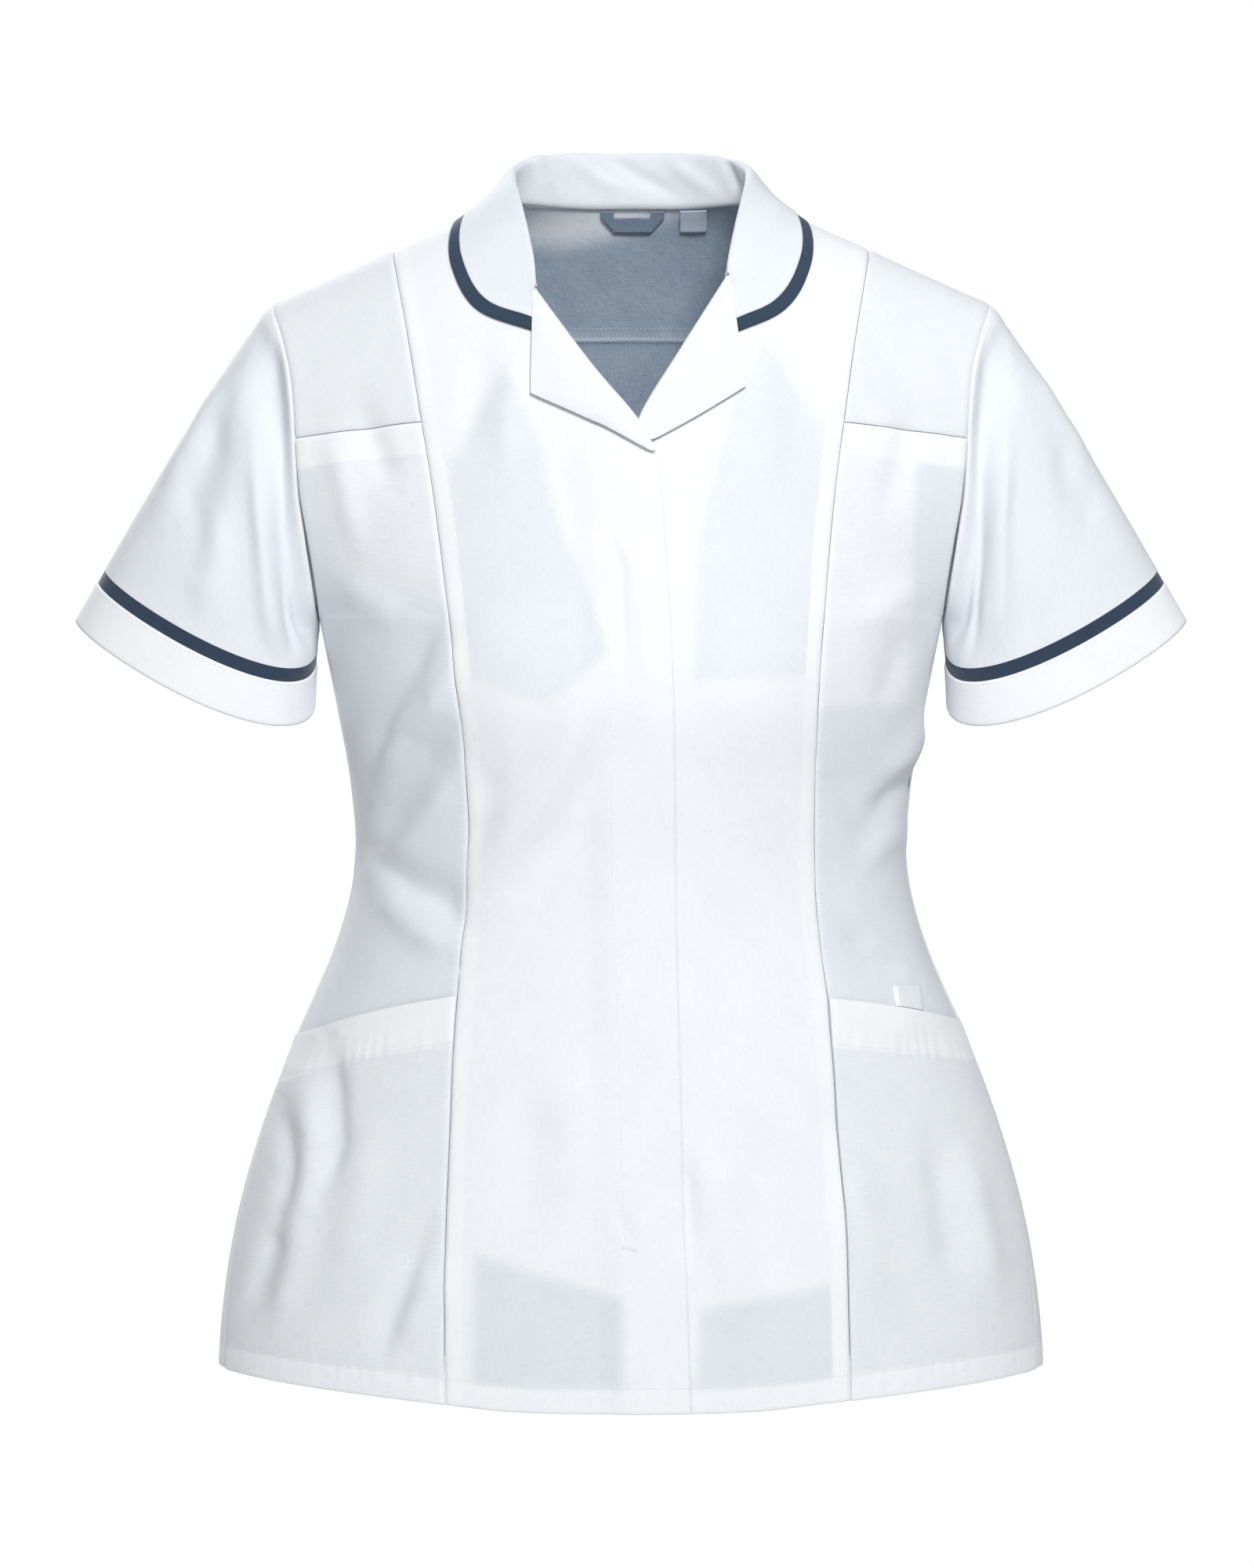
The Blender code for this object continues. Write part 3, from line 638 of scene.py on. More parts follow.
@dataclass
class Shader:
    """Node tree of one material, with one method for any node."""

    material: bpy.types.Material

    @property
    def tree(self) -> bpy.types.NodeTree:
        """The material's node tree."""
        return self.material.node_tree

    def node(self, kind: str, settings: Optional[dict[str, Any]] = None, **sockets: Any) -> bpy.types.Node:
        """Add a node.

        Args:
            kind: Blender's name of the node type.
            settings: Properties that are set first.
            sockets: Values or links by socket name, with underscores for spaces.

        Returns:
            The new node.
        """
        made = self.tree.nodes.new(kind)
        for name, value in (settings or {}).items():
            setattr(made, name, value)
        for name, value in sockets.items():
            socket = made.inputs[int(name[1:])] if name[1:].isdigit() else made.inputs[name.replace("_", " ")]
            value = value.value if isinstance(value, Maths) else value
            if isinstance(value, bpy.types.NodeSocket):
                self.tree.links.new(value, socket)
            else:
                socket.default_value = value
        return made

    def maths(self, socket: bpy.types.NodeSocket) -> Maths:
        """Wrap a socket for expressions."""
        return Maths(self.tree, socket)

    def link(self, value: Union[Maths, bpy.types.NodeSocket], socket: str) -> None:
        """Feed a value into the Principled shader."""
        source = value.value if isinstance(value, Maths) else value
        self.tree.links.new(source, self.tree.nodes["Principled BSDF"].inputs[socket])


@dataclass(frozen=True)
class ClothFinish:
    """Plain-weave cloth: its colour in one layer and in several (for the wrong side, in deep and light
    painted shade), its threads and its sheen.
    """

    name: str
    slot: str
    single: tuple[float, float, float]
    double: tuple[float, float, float]
    roughness: float = 0.85
    thread_mm: float = 0.42
    relief: float = 0.12
    mottle: float = 0.02
    sheen: float = 0.15
    attribute: str = "layers"

    def material(self) -> bpy.types.Material:
        """Build the material once.

        Returns:
            Material that reads the piece's "cloth" UV map and this finish's attribute.
        """
        if self.name in bpy.data.materials:
            return bpy.data.materials[self.name]
        made = bpy.data.materials.new(self.name)
        made.use_nodes = True
        shader = Shader(made)
        principled = made.node_tree.nodes["Principled BSDF"]
        principled.inputs["Sheen Weight"].default_value = self.sheen
        principled.inputs["Specular IOR Level"].default_value = 0.25
        uv = shader.node("ShaderNodeUVMap", {"uv_map": "cloth"}).outputs["UV"]
        threads = []
        for stretch in ((1.0, 0.12, 1.0), (0.12, 1.0, 1.0)):
            along = shader.node("ShaderNodeMapping", Vector=uv, Scale=stretch)
            noise = shader.node(
                "ShaderNodeTexNoise", Vector=along.outputs["Vector"], Scale=1.0 / (self.thread_mm * MM * 2.2),
                Detail=1.5, Roughness=0.5,
            )
            threads.append(shader.maths(noise.outputs["Fac"]))
        weave = threads[0] * 0.5 + threads[1] * 0.5
        patch = shader.maths(shader.node(
            "ShaderNodeTexNoise", Vector=uv, Scale=28.0, Detail=3.0, Roughness=0.55,
        ).outputs["Fac"])
        layers = shader.node("ShaderNodeAttribute", {"attribute_name": self.attribute}).outputs["Fac"]
        blend = shader.maths(layers) + (patch - 0.5) * 0.25 + (weave - 0.5) * 0.5
        mixed = shader.node(
            "ShaderNodeMix", {"data_type": "RGBA"}, _0=blend, _6=(*self.single, 1.0), _7=(*self.double, 1.0),
        )
        shade = 1.0 + (weave - 0.5) * (self.mottle * 4.0) + (patch - 0.5) * (self.mottle * 1.5)
        tone = shader.node("ShaderNodeCombineXYZ", X=shade, Y=shade, Z=shade)
        colour = shader.node(
            "ShaderNodeVectorMath", {"operation": "MULTIPLY"}, _0=mixed.outputs[2], _1=tone.outputs["Vector"],
        )
        shader.link(colour.outputs["Vector"], "Base Color")
        shader.link(self.roughness + (weave - 0.5) * 0.1, "Roughness")
        bump = shader.node(
            "ShaderNodeBump", Height=weave, Strength=self.relief, Distance=0.3 * MM,
        )
        shader.link(bump.outputs["Normal"], "Normal")
        return made


WHITE = ClothFinish(
    "white_poly_cotton", "white_cloth", single=(0.718, 0.755, 0.80), double=(0.895, 0.908, 0.922),
)
# Painted shade: the wrong side of the white cloth is a dark grey-blue copy of it, lighter where its attribute
# is high.
INSIDE_PAINTED_SHADE = ClothFinish(
    "white_poly_cotton_inside", "white_cloth", single=(0.27, 0.345, 0.44), double=(0.93, 0.97, 1.0),
    attribute="inner_layers",
)
NAVY = ClothFinish(
    "navy_flat_piping", "navy_cloth", single=(0.026, 0.045, 0.082), double=(0.030, 0.052, 0.092), mottle=0.09,
    relief=0.35, sheen=0.3,
)
TAPE = ClothFinish(
    "grey_woven_tape", "grey_label", single=(0.22, 0.29, 0.38), double=(0.55, 0.63, 0.73), mottle=0.06,
    relief=0.3, thread_mm=0.3,
)
THREAD = ClothFinish(
    "white_sewing_thread", "white_cloth", single=(0.80, 0.81, 0.83), double=(0.84, 0.85, 0.86), relief=0.1,
    thread_mm=0.2,
)


@dataclass(frozen=True)
class Cut:
    """What a piece was cut from the cloth as: its flat size in metres and how it is held."""

    width: float
    length: float
    area: Optional[float] = None
    held: Held = Held.HUNG
    rests_on: tuple[str, ...] = ()


def line_shares(cells: int, fine_ends: bool) -> Array:
    """Shares of the lines of a grid, closer together at both ends so that a seam can roll in.

    Args:
        cells: Number of cells.
        fine_ends: Whether the first and last cells are narrower.

    Returns:
        One share from 0 to 1 for each line.
    """
    weights = np.ones(cells)
    if fine_ends and cells > 2 * len(SEAM_CELLS) + 4:
        weights[:len(SEAM_CELLS)] = SEAM_CELLS
        weights[-len(SEAM_CELLS):] = SEAM_CELLS[::-1]
    shares = np.concatenate([[0.0], np.cumsum(weights)])
    return shares / shares[-1]


def sheet_object(
    name: str, grid: Grid, finish: ClothFinish, wall: float, offset: float = -1.0,
    inside: Optional[ClothFinish] = None,
) -> bpy.types.Object:
    """Cloth piece from a sheet of points: a bmesh grid whose vertices are moved into place, with its wall.

    Args:
        name: Name of the piece.
        grid: Points, normals and layers, rows first.
        finish: Cloth it is made of.
        wall: Thickness in mm.
        offset: Solidify's offset, -1 for a wall inside the points.
        inside: Finish of the wrong side, a painted shade, where it differs.

    Returns:
        The new object, with the "cloth" UV map in metres and the "layers" attribute.
    """
    rows, columns = grid.points.shape[:2]
    bm = bmesh.new()
    bmesh.ops.create_grid(bm, x_segments=columns - 1, y_segments=rows - 1, size=1.0)
    over, down = grid.lengths(1), grid.lengths(0)
    layers = bm.verts.layers.float.new("layers")
    # Attribute of the painted shade on the wrong side.
    inner = bm.verts.layers.float.new("inner_layers")
    inside_shade_values = INSIDE_SHADE_LIFT * grid.layers if grid.inner_layers is None else grid.inner_layers
    uv = bm.loops.layers.uv.new("cloth")
    spots: dict[int, tuple[int, int]] = {}
    for vert in bm.verts:
        column = int(round((vert.co.x + 1.0) / 2.0 * (columns - 1)))
        row = int(round((1.0 - vert.co.y) / 2.0 * (rows - 1)))
        spots[vert.index] = (row, column)
    for vert in bm.verts:
        row, column = spots[vert.index]
        vert.co = Vector(grid.points[row, column])
        vert[layers] = float(grid.layers[row, column])
        vert[inner] = float(inside_shade_values[row, column])
    for face in bm.faces:
        for loop in face.loops:
            row, column = spots[loop.vert.index]
            loop[uv].uv = (over[row, column] * MM, -down[row, column] * MM)
    sample = next(iter(bm.faces))
    sample.normal_update()
    row, column = spots[sample.verts[0].index]
    if sample.normal.dot(Vector(grid.normals[row, column])) < 0.0:
        bmesh.ops.reverse_faces(bm, faces=bm.faces)
    if grid.closed:
        bmesh.ops.remove_doubles(bm, verts=bm.verts, dist=0.00002)
    mesh = bpy.data.meshes.new(name)
    bm.to_mesh(mesh)
    bm.free()
    mesh.shade_smooth()
    mesh.materials.append(finish.material())
    made = linked(name, mesh)
    solid = made.modifiers.new("wall", "SOLIDIFY")
    solid.thickness = wall * MM
    solid.offset = offset
    solid.use_even_offset = False
    # The wrong side, and the rim where the grid asks for it, take the painted-shade finish.
    if inside is not None:
        mesh.materials.append(inside.material())
        solid.material_offset = 1
        solid.material_offset_rim = int(grid.rim_painted_shade)
    return made


@dataclass
class Workshop:
    """Puts finished pieces on the frame and keeps the points of each for what is sewn on it."""

    body: str = "root"
    grids: dict[str, Grid] = field(default_factory=dict)

    def add(self, piece: bpy.types.Object, finish: ClothFinish, nodes: Sequence[str] = ()) -> None:
        """Ride a piece on the body.

        Args:
            piece: The new object.
            finish: Its finish; not used.
            nodes: CAD nodes that it stands for.
        """
        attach(piece, self.body)
        if nodes:
            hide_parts(*nodes)
        log.info("%s: %d faces", piece.name, len(piece.data.polygons))

    def sheet(self, piece: bpy.types.Object, finish: ClothFinish, node: str, cut: Cut) -> None:
        """Args:
            piece: The sheet.
            finish: Its finish.
            node: CAD node that it stands for.
            cut: Its flat size and how it is held.
        """
        self.add(piece, finish, [node])

    def cloth(
        self, node: str, grid: Grid, cut: Cut, finish: ClothFinish, wall: float, **options: Any
    ) -> None:
        """Make a sheet from its points and keep them.

        Args:
            node: CAD node that it stands for.
            grid: Its points.
            cut: Its flat size and how it is held.
            finish: Its finish.
            wall: Thickness in mm.
            options: Offset and inside, as sheet_object takes them.
        """
        self.grids[node] = grid
        self.sheet(sheet_object(node + "_cloth", grid, finish, wall, **options), finish, node, cut)

    def panel(self, panel: "BodyPanel", cut: Cut) -> None:
        """Make one panel of the body, with painted shade on its wrong side."""
        self.cloth(panel.name, panel.grid(), cut, WHITE, LAYERS.wall, inside=INSIDE_PAINTED_SHADE)


@dataclass(frozen=True)
class StitchRun:
    """Sizes of a row of machine stitches, in mm."""

    pitch: float = 2.7
    length: float = 2.0
    width: float = 0.42
    height: float = 0.3
    lift: float = 0.02
    aim: float = 0.4
    batch: int = 60

    def places(self, points: Array, normals: Array) -> list[Matrix]:
        """Place, turn and size of every stitch of one row.

        Args:
            points: Points along the row in metres.
            normals: Normals of the cloth below them.

        Returns:
            One matrix for each stitch.
        """
        run = run_of(points)
        size = Matrix.Diagonal((self.length / 2.0 * MM, self.width / 2.0 * MM, self.height / 2.0 * MM, 1.0))
        at = np.arange(self.pitch / 2.0, run[-1] / MM, self.pitch) * MM
        here, ahead, behind = (along_line(at + step * MM, run, points) for step in (0.0, self.aim, -self.aim))
        made = []
        for spot, way, normal in zip(here, ahead - behind, along_line(at, run, normals)):
            up, along = Vector(normal).normalized(), Vector(way).normalized()
            side = up.cross(along).normalized()
            turn = Matrix((along, side, along.cross(side))).transposed().to_4x4()
            made.append(Matrix.Translation(Vector(spot) + up * (self.lift * MM)) @ turn @ size)
        return made

    def build(self, name: str, lines: Sequence[tuple[Array, Array]]) -> bpy.types.Object:
        """Row of separate stitches that lie on the cloth.

        Args:
            name: Name of the piece.
            lines: Points in metres with the normals of the cloth below them, one pair for each row.

        Returns:
            One object with every stitch of the rows.
        """
        places = [place for points, normals in lines for place in self.places(points, normals)]
        mesh = bpy.data.meshes.new(name)
        for first in range(0, len(places), self.batch):
            batch = bpy.data.meshes.new(name + "_batch")
            with editing(batch) as bm:
                for place in places[first:first + self.batch]:
                    bmesh.ops.create_uvsphere(bm, u_segments=6, v_segments=4, radius=1.0, matrix=place)
            with editing(mesh) as bm:
                bm.from_mesh(batch)
            bpy.data.meshes.remove(batch)
        mesh.shade_smooth()
        mesh.materials.append(THREAD.material())
        return linked(name, mesh)


RIGHT_EDGE = Curve(
    (
        (-730, 35.5), (-553, 29.5), (-411, 26), (-283, 24), (-177, 18), (-152, 13.5), (-133.5, 3), (-98, -26),
        (-61, -54.5), (-47, -58), (-30, -63.5), (-12, -70), (2, -76),
    ),
    corners=(6, 8),
)
LEFT_EDGE = Curve(
    (
        (-730, 11.5), (-553, 5.5), (-411, 2), (-283, 0), (-177, -6), (-152, -10.5), (-133.5, 3), (-92, 29),
        (-49, 55.5), (-30, 63), (-12, 70), (2, 76),
    ),
    corners=(6, 8),
)
PRINCESS = Curve((
    (-730, 118), (-655, 117.5), (-600, 116), (-545, 113), (-500, 110.5), (-470, 108), (-440, 105),
    (-405, 102), (-347, 101.5), (-280, 106), (-236, 110.5), (-171, 118), (-131, 124), (-80, 132),
    (-30, 141.5),
))
PRINCESS_DRIFT = Curve(((-730, 10), (-600, 8.5), (-440, 6), (-347, 6), (-280, 4), (-131, 1), (-30, 0)))
CHEST_SEAM = Curve(((110, -131), (150, -134.5), (200, -140)))
POCKET_MOUTH = {
    Side.RIGHT: Curve(((90, -465), (150, -477.5), (205, -496))),
    Side.LEFT: Curve(((100, -467), (160, -476), (210, -489))),
}
HEM = Curve(((0, -708), (70, -707), (115, -703), (160, -699), (200, -695.5), (245, -691)))
HEM_BACK = Curve(((0, -700), (150, -697), (245, -691)))
YOKE_SEAM = Curve(((0, -72), (110, -74), (210, -80)))
BACK_SEAM = Curve((
    (-730, 128), (-600, 122), (-500, 112), (-430, 101), (-380, 97), (-300, 103), (-200, 114), (-120, 122),
    (-60, 126),
))
PLACKET_STITCH = (
    (-8.3, -174.7), (-18.7, -174.7), (-18.7, -193.3), (-14.8, -216.5), (-12.8, -263.2), (-11.9, -301.8),
    (-11.0, -410.3), (-8.0, -472.9), (-6.0, -533.7), (-5.1, -574.1), (-3.3, -610.8),
)
BAR_TACK = ((-5.5, -611.5), (3.5, -613.5))

# Areas of the fronts. The first of each side is painted shade under the bust, the second lies in fewer
# layers, and the last makes the cloth greyer near the hem, below a slanting line.
FRONT_LAYERS_AND_SHADE = {
    Side.RIGHT: (
        Patch(((-98, -285), (-96, -420), (-30, -420), (-14, -285)), 0.8, 24.0),
        Patch((
            (-75, -100), (-106, -158), (-104, -208), (-99, -281), (-48, -299), (-12, -269), (-30, -219),
            (-46, -181), (-52, -149), (-68, -108),
        ), 0.4, 5.0),
        Patch(((-90, -617), (-15, -639), (-5, -641), (-4, -694), (-92, -694)), 0.15, 5.0),
    ),
    Side.LEFT: (
        Patch(((36, -290), (38, -430), (104, -430), (104, -290)), 0.75, 24.0),
        Patch((
            (78, -84), (114, -135), (112, -181), (108, -281), (36, -285), (37, -208), (44, -181), (58, -124),
        ), 0.4, 5.0),
        Patch(((40, -648), (122, -634), (124, -694), (38, -694)), 0.2, 5.0),
    ),
}
SIDE_LAYERS = {
    Side.RIGHT: (Patch(((-98, -150), (-180, -150), (-178, -214), (-104, -232)), 0.75, 16.0),),
    Side.LEFT: (Patch(((100, -130), (168, -130), (164, -296), (104, -301)), 0.7, 3.0),),
}

# Painted light and shade on the yoke's wrong side: lighter near the neck, a little lighter along the yoke
# seam.
YOKE_INSIDE_SHADE = (
    Patch(((-110, 45), (-110, -15), (-40, -15), (-8, -8), (40, 8), (60, 45)), 0.9, 10.0),
    Patch(((-110, -66), (110, -66), (110, -74), (-110, -74)), 0.2, 2.0),
)

FRONT_FOLDS = Folds((
    Fold(((-112, -246), (-126, -277), (-139, -299), (-156, -336)), -2.8, 8.5, skew=0.3),
    Fold(((-103, -272), (-115, -299), (-133, -314), (-152, -352)), 3.0, 8.0),
    Fold(((-104, -312), (-115, -325), (-134, -352), (-152, -378)), -2.6, 8.5, skew=-0.2),
    Fold(((-99, -334), (-116, -360), (-138, -386), (-152, -398)), 2.4, 9.0),
    Fold(((-154, -384), (-131, -403), (-108, -413), (-97, -428)), -3.0, 10.0, skew=-0.3),
    Fold(((-150, -408), (-126, -428), (-104, -442)), 2.2, 9.0),
    Fold(((-14, -262), (-26, -300), (-42, -338), (-70, -378), (-96, -412)), 3.0, 13.0, skew=0.2),
    Fold(((2, -286), (-12, -330), (-34, -370), (-62, -406)), -2.2, 12.0),
    Fold(((-78, -330), (-84, -362), (-96, -386)), -1.4, 9.0),
    Fold(((-40, -500), (-30, -552), (-36, -600)), 1.4, 16.0),
    Fold(((-62, -520), (-58, -560), (-66, -604)), -1.2, 14.0),
    Fold(((-178, -494), (-173, -524), (-171, -554), (-181, -585)), -3.2, 9.0, skew=0.2),
    Fold(((-194, -516), (-186, -552), (-189, -582), (-200, -612)), 2.8, 8.5),
    Fold(((-206, -532), (-199, -570), (-206, -600)), -2.4, 7.0),
    Fold(((-206, -600), (-214, -630), (-225, -655)), -2.6, 8.0, skew=-0.2),
    Fold(((-190, -592), (-198, -626), (-208, -664)), 2.0, 9.0),
    Fold(((-116, -596), (-126, -620), (-136, -649), (-146, -678)), -2.4, 8.0, skew=0.3),
    Fold(((-110, -622), (-120, -645), (-134, -672)), 2.2, 8.0),
    Fold(((-150, -548), (-158, -590), (-168, -636)), 1.6, 12.0),
    Fold(((30, -555), (33, -585), (34, -620)), -2.2, 5.5),
    Fold(((44, -548), (50, -590), (60, -640), (62, -676)), 2.0, 12.0, skew=-0.2),
    Fold(((70, -540), (78, -600), (86, -652)), -1.8, 13.0),
    Fold(((-12, -574), (-6, -594), (0, -611)), -0.6, 4.0),
    Fold(((8, -580), (6, -598), (5, -616)), 0.5, 4.0),
    Fold(((-14, -194), (-6, -221), (-4, -283)), -1.3, 5.0, skew=0.3),
    Fold(((0, -190), (6, -226), (8, -290)), 0.7, 7.0),
    Fold(((150, -344), (164, -326), (180, -306)), 2.6, 8.0),
    Fold(((142, -366), (154, -350), (170, -334)), -2.4, 7.0),
    Fold(((138, -392), (150, -378), (164, -370)), 2.0, 8.0),
    Fold(((110, -330), (126, -346), (146, -398)), -1.4, 11.0),
    Fold(((108, -452), (124, -474), (150, -486), (178, -486)), 1.6, 11.0),
    Fold(((124, -424), (140, -446), (166, -458)), -1.8, 9.0),
    Fold(((126, -560), (134, -606), (146, -652)), 2.2, 12.0),
    Fold(((112, -520), (116, -560), (122, -600)), -1.6, 10.0),
    Fold(((176, -548), (184, -598), (190, -640)), -2.4, 10.0),
    Fold(((196, -560), (206, -604), (214, -650)), 2.2, 9.0),
    Fold(((-64, -96), (-72, -128), (-74, -160)), 1.4, 9.0),
    Fold(((-84, -84), (-90, -116), (-98, -150)), -1.2, 9.0),
    Fold(((72, -92), (78, -130), (84, -166)), 1.4, 10.0),
    Fold(((92, -82), (98, -112), (104, -142)), -1.2, 9.0),
    Fold(((-160, -118), (-152, -142), (-140, -172)), -2.0, 9.0),
    Fold(((-176, -138), (-168, -170), (-160, -206)), 1.6, 8.0),
    Fold(((168, -122), (160, -150), (150, -186)), -1.8, 9.0),
    Fold(((-172, -222), (-152, -238), (-132, -246)), 2.0, 10.0),
    Fold(((172, -226), (150, -240), (134, -252)), 1.8, 10.0),
    Fold(((168, -252), (156, -272), (146, -300)), -1.6, 9.0),
))
BACK_FOLDS = Folds((
    Fold(((-150, -300), (-110, -330), (-60, -352)), 2.6, 13.0, skew=0.2),
    Fold(((148, -318), (112, -344), (70, -360), (40, -372)), 2.2, 12.0),
    Fold(((-140, -348), (-96, -376), (-52, -388)), -2.4, 11.0),
    Fold(((136, -366), (100, -388), (48, -400)), -2.0, 12.0),
    Fold(((-156, -392), (-120, -412), (-80, -420)), 2.2, 11.0),
    Fold(((152, -402), (124, -424), (92, -436)), 2.4, 12.0),
    Fold(((-40, -150), (-46, -210), (-38, -270)), 1.4, 15.0),
    Fold(((44, -140), (52, -196), (58, -262)), 1.2, 14.0),
    Fold(((-120, -520), (-128, -580), (-140, -650)), 2.6, 16.0, skew=-0.2),
    Fold(((20, -500), (14, -560), (22, -640)), 2.0, 18.0),
    Fold(((126, -510), (142, -580), (150, -660)), 2.4, 16.0),
    Fold(((-62, -540), (-66, -600), (-60, -660)), -1.8, 15.0),
    Fold(((82, -560), (86, -610), (78, -664)), -1.6, 14.0),
    Fold(((-168, -130), (-150, -176), (-138, -226)), -2.0, 11.0),
    Fold(((166, -136), (152, -180), (142, -222)), -1.8, 12.0),
    Fold(((-158, -276), (-132, -306), (-96, -322)), -2.2, 10.0),
    Fold(((160, -290), (136, -322), (110, -334)), -1.9, 9.0),
    Fold(((-176, -470), (-186, -530), (-198, -590)), -2.4, 11.0),
    Fold(((178, -486), (194, -548), (202, -618)), 2.0, 12.0),
), depth=2.1)

BODY = BodyForm(
    upper=tuple(UpperRow(*row) for row in (
        (0, 34, 0, 34), (-20, 29, 18, 30), (-42, 13, 37, 19), (-61, -13, 54, 0), (-77, -45, 68, -30),
        (-90, -84, 79, -68), (-101, -128, 88, -112), (-111, -172, 95, -160), (-120, -215, 101, -206),
        (-127, -252, 105, -250),
    )),
    lower=tuple(LowerRow(*row) for row in (
        (-300, 175.5, -131, 104, -3), (-350, 167, -123, 96, -6), (-395, 165.5, -115, 89, -8),
        (-440, 177, -112, 93, -11), (-495, 201, -112, 104, -15), (-550, 221.5, -114, 112, -19),
        (-605, 236.5, -117, 116, -23), (-660, 245, -119, 118, -27), (-720, 248.5, -120, 120, -30),
    )),
    armhole=Armhole(),
    folds={Face.FRONT: FRONT_FOLDS, Face.BACK: BACK_FOLDS},
)


@dataclass(frozen=True)
class Layering:
    """Heights of the layers over the body, in mm, as the part's solids have them."""

    wall: float = 0.7
    seam_gap: float = 0.3
    solid_wall: float = 1.2
    layer_gap: float = 0.65
    lapel_gap: float = 0.85
    lap_lift: float = 2.2
    lap_ease: tuple[float, float] = (-30.0, -12.0)
    roll_depth: float = 0.75
    roll_reach: float = 1.1
    ridge_height: float = 0.18
    ridge_at: float = 4.5
    ridge_reach: float = 3.0
    hem_depth: float = 15.0
    seam_band: float = 11.0
    mouth_depth: float = 27.0
    pucker: float = 0.2
    pucker_reach: float = 11.0

    def lap(self, x: Array, z: Array) -> Array:
        """Height of the right front where it laps over the left one."""
        return self.lap_lift * ease(x - LEFT_EDGE(z), *self.lap_ease)


LAYERS = Layering()


def puckers(run: Array, past: Array) -> Array:
    """Small uneven waves beside a row of stitches, and the groove that it pulls in.

    Args:
        run: Distance along the row in mm.
        past: Distance from the row in mm, negative towards the edge.

    Returns:
        Heights in mm.
    """
    wave = np.sin(run / 1.45 + 1.9 * np.sin(run / 9.0))
    wave = wave + 0.7 * np.sin(run / 3.1 + 2.0 * np.sin(run / 21.0))
    wave = wave * (0.6 + 0.4 * np.sin(run / 29.0))
    reach = np.where(past < 0.0, LAYERS.pucker_reach, 0.35 * LAYERS.pucker_reach)
    return LAYERS.pucker * wave * bell(past, reach) - 0.45 * bell(past, 1.8)


@dataclass
class BodyPanel:
    """Panel of the body between two across-lines and two row-lines."""

    name: str
    face: Face
    inner: RowLine
    outer: RowLine
    top: Limit
    bottom: Limit
    cells: tuple[int, int]
    lift: Callable[[Array, Array], Array] = constant(0.0)
    rolled: tuple[str, ...] = ("inner", "outer", "top")
    bands: dict[str, float] = field(default_factory=dict)
    hem: bool = False
    base: float = 0.4
    patches: tuple[Patch, ...] = ()
    # Areas where the painted shade of the wrong side is lighter.
    inside_shade_patches: tuple[Patch, ...] = ()
    stitched: dict[str, float] = field(default_factory=dict)
    turned_down: float = 0.0

    def grid(self) -> Grid:
        """Points of the panel with its folds, rolled seams and hem.

        Returns:
            Sheet whose rows run down and whose columns run from inner to outer.
        """
        shares = line_shares(self.cells[0], True)
        downs = line_shares(self.cells[1], True)[:, None]

        def across_of(row: Array) -> Array:
            """Share across of every column at one row each."""
            inner = self.inner(row)
            return inner + (self.outer(row) - inner) * shares

        first = self.top(across_of, shares.shape)
        last = self.bottom(across_of, shares.shape)
        row = first + (last - first) * downs
        across = across_of(row)
        flat = BODY.point_mm(self.face, row, across)
        x, z = flat[..., 0], flat[..., 2]
        points, normals = BODY.surface(self.face, row, across, self.lift(x, z))
        grid = Grid(points, normals, laid_over(np.full(row.shape, self.base), self.patches, x, z))
        self.finish_edges(grid)
        # Painted shade on the wrong side, which the back panels' rims take too; the inside patches lighten it
        # in places.
        grid.rim_painted_shade = self.face is Face.BACK
        grid.inner_layers = laid_over(INSIDE_SHADE_LIFT * grid.layers, self.inside_shade_patches, x, z)
        return grid

    def finish_edges(self, grid: Grid) -> None:
        """Roll the seams in, thicken the hem and mark where the cloth lies in several layers."""
        far = grid.from_edges()
        height = -self.turned_down * bell(far["inner"], 0.8)
        for edge in self.rolled:
            height = height - LAYERS.roll_depth * bell(far[edge], LAYERS.roll_reach)
            height = height + LAYERS.ridge_height * bell(far[edge] - LAYERS.ridge_at, LAYERS.ridge_reach)
        for edge, width in self.bands.items():
            cover = 1.0 - ease(far[edge], width - 0.8, width + 0.8)
            grid.layers = np.maximum(grid.layers, cover)
            wave = np.sin(far["top"] / 9.0 + 1.3 * np.sin(far["top"] / 23.0))
            height = height + 0.12 * wave * bell(far[edge], 6.0)
        if self.hem:
            height = height - 0.5 * bell(far["bottom"], 0.8)
            cover = 0.9 - 0.9 * ease(far["bottom"], LAYERS.hem_depth - 1.0, LAYERS.hem_depth + 1.0)
            grid.layers = np.maximum(grid.layers, cover)
        for edge, depth in self.stitched.items():
            height = height + puckers(far["inner"], far[edge] - depth)
        grid.raise_by(height)


def at_row(row: float) -> Limit:
    """Top or bottom that follows one row."""
    return lambda across_of, shape: np.full(shape, row)


def at_level(face: Face, level: Level, clear: float = 0.0) -> Limit:
    """Top or bottom at a height over the distance from the centre, raised by clear (mm)."""
    return lambda across_of, shape: BODY.row_at(face, across_of, lambda x: level(x) + clear, shape)


def at_x(face: Face, x: float) -> RowLine:
    """Across-line at one distance from the centre in mm."""
    return lambda row: BODY.across_at(face, row, constant(x)(row))


def princess(side: Side, clear: float) -> RowLine:
    """Princess seam, moved away from the centre by clear (mm)."""
    return BODY.line(Face.FRONT, lambda z: side.value * (PRINCESS(z) + clear) + PRINCESS_DRIFT(z))


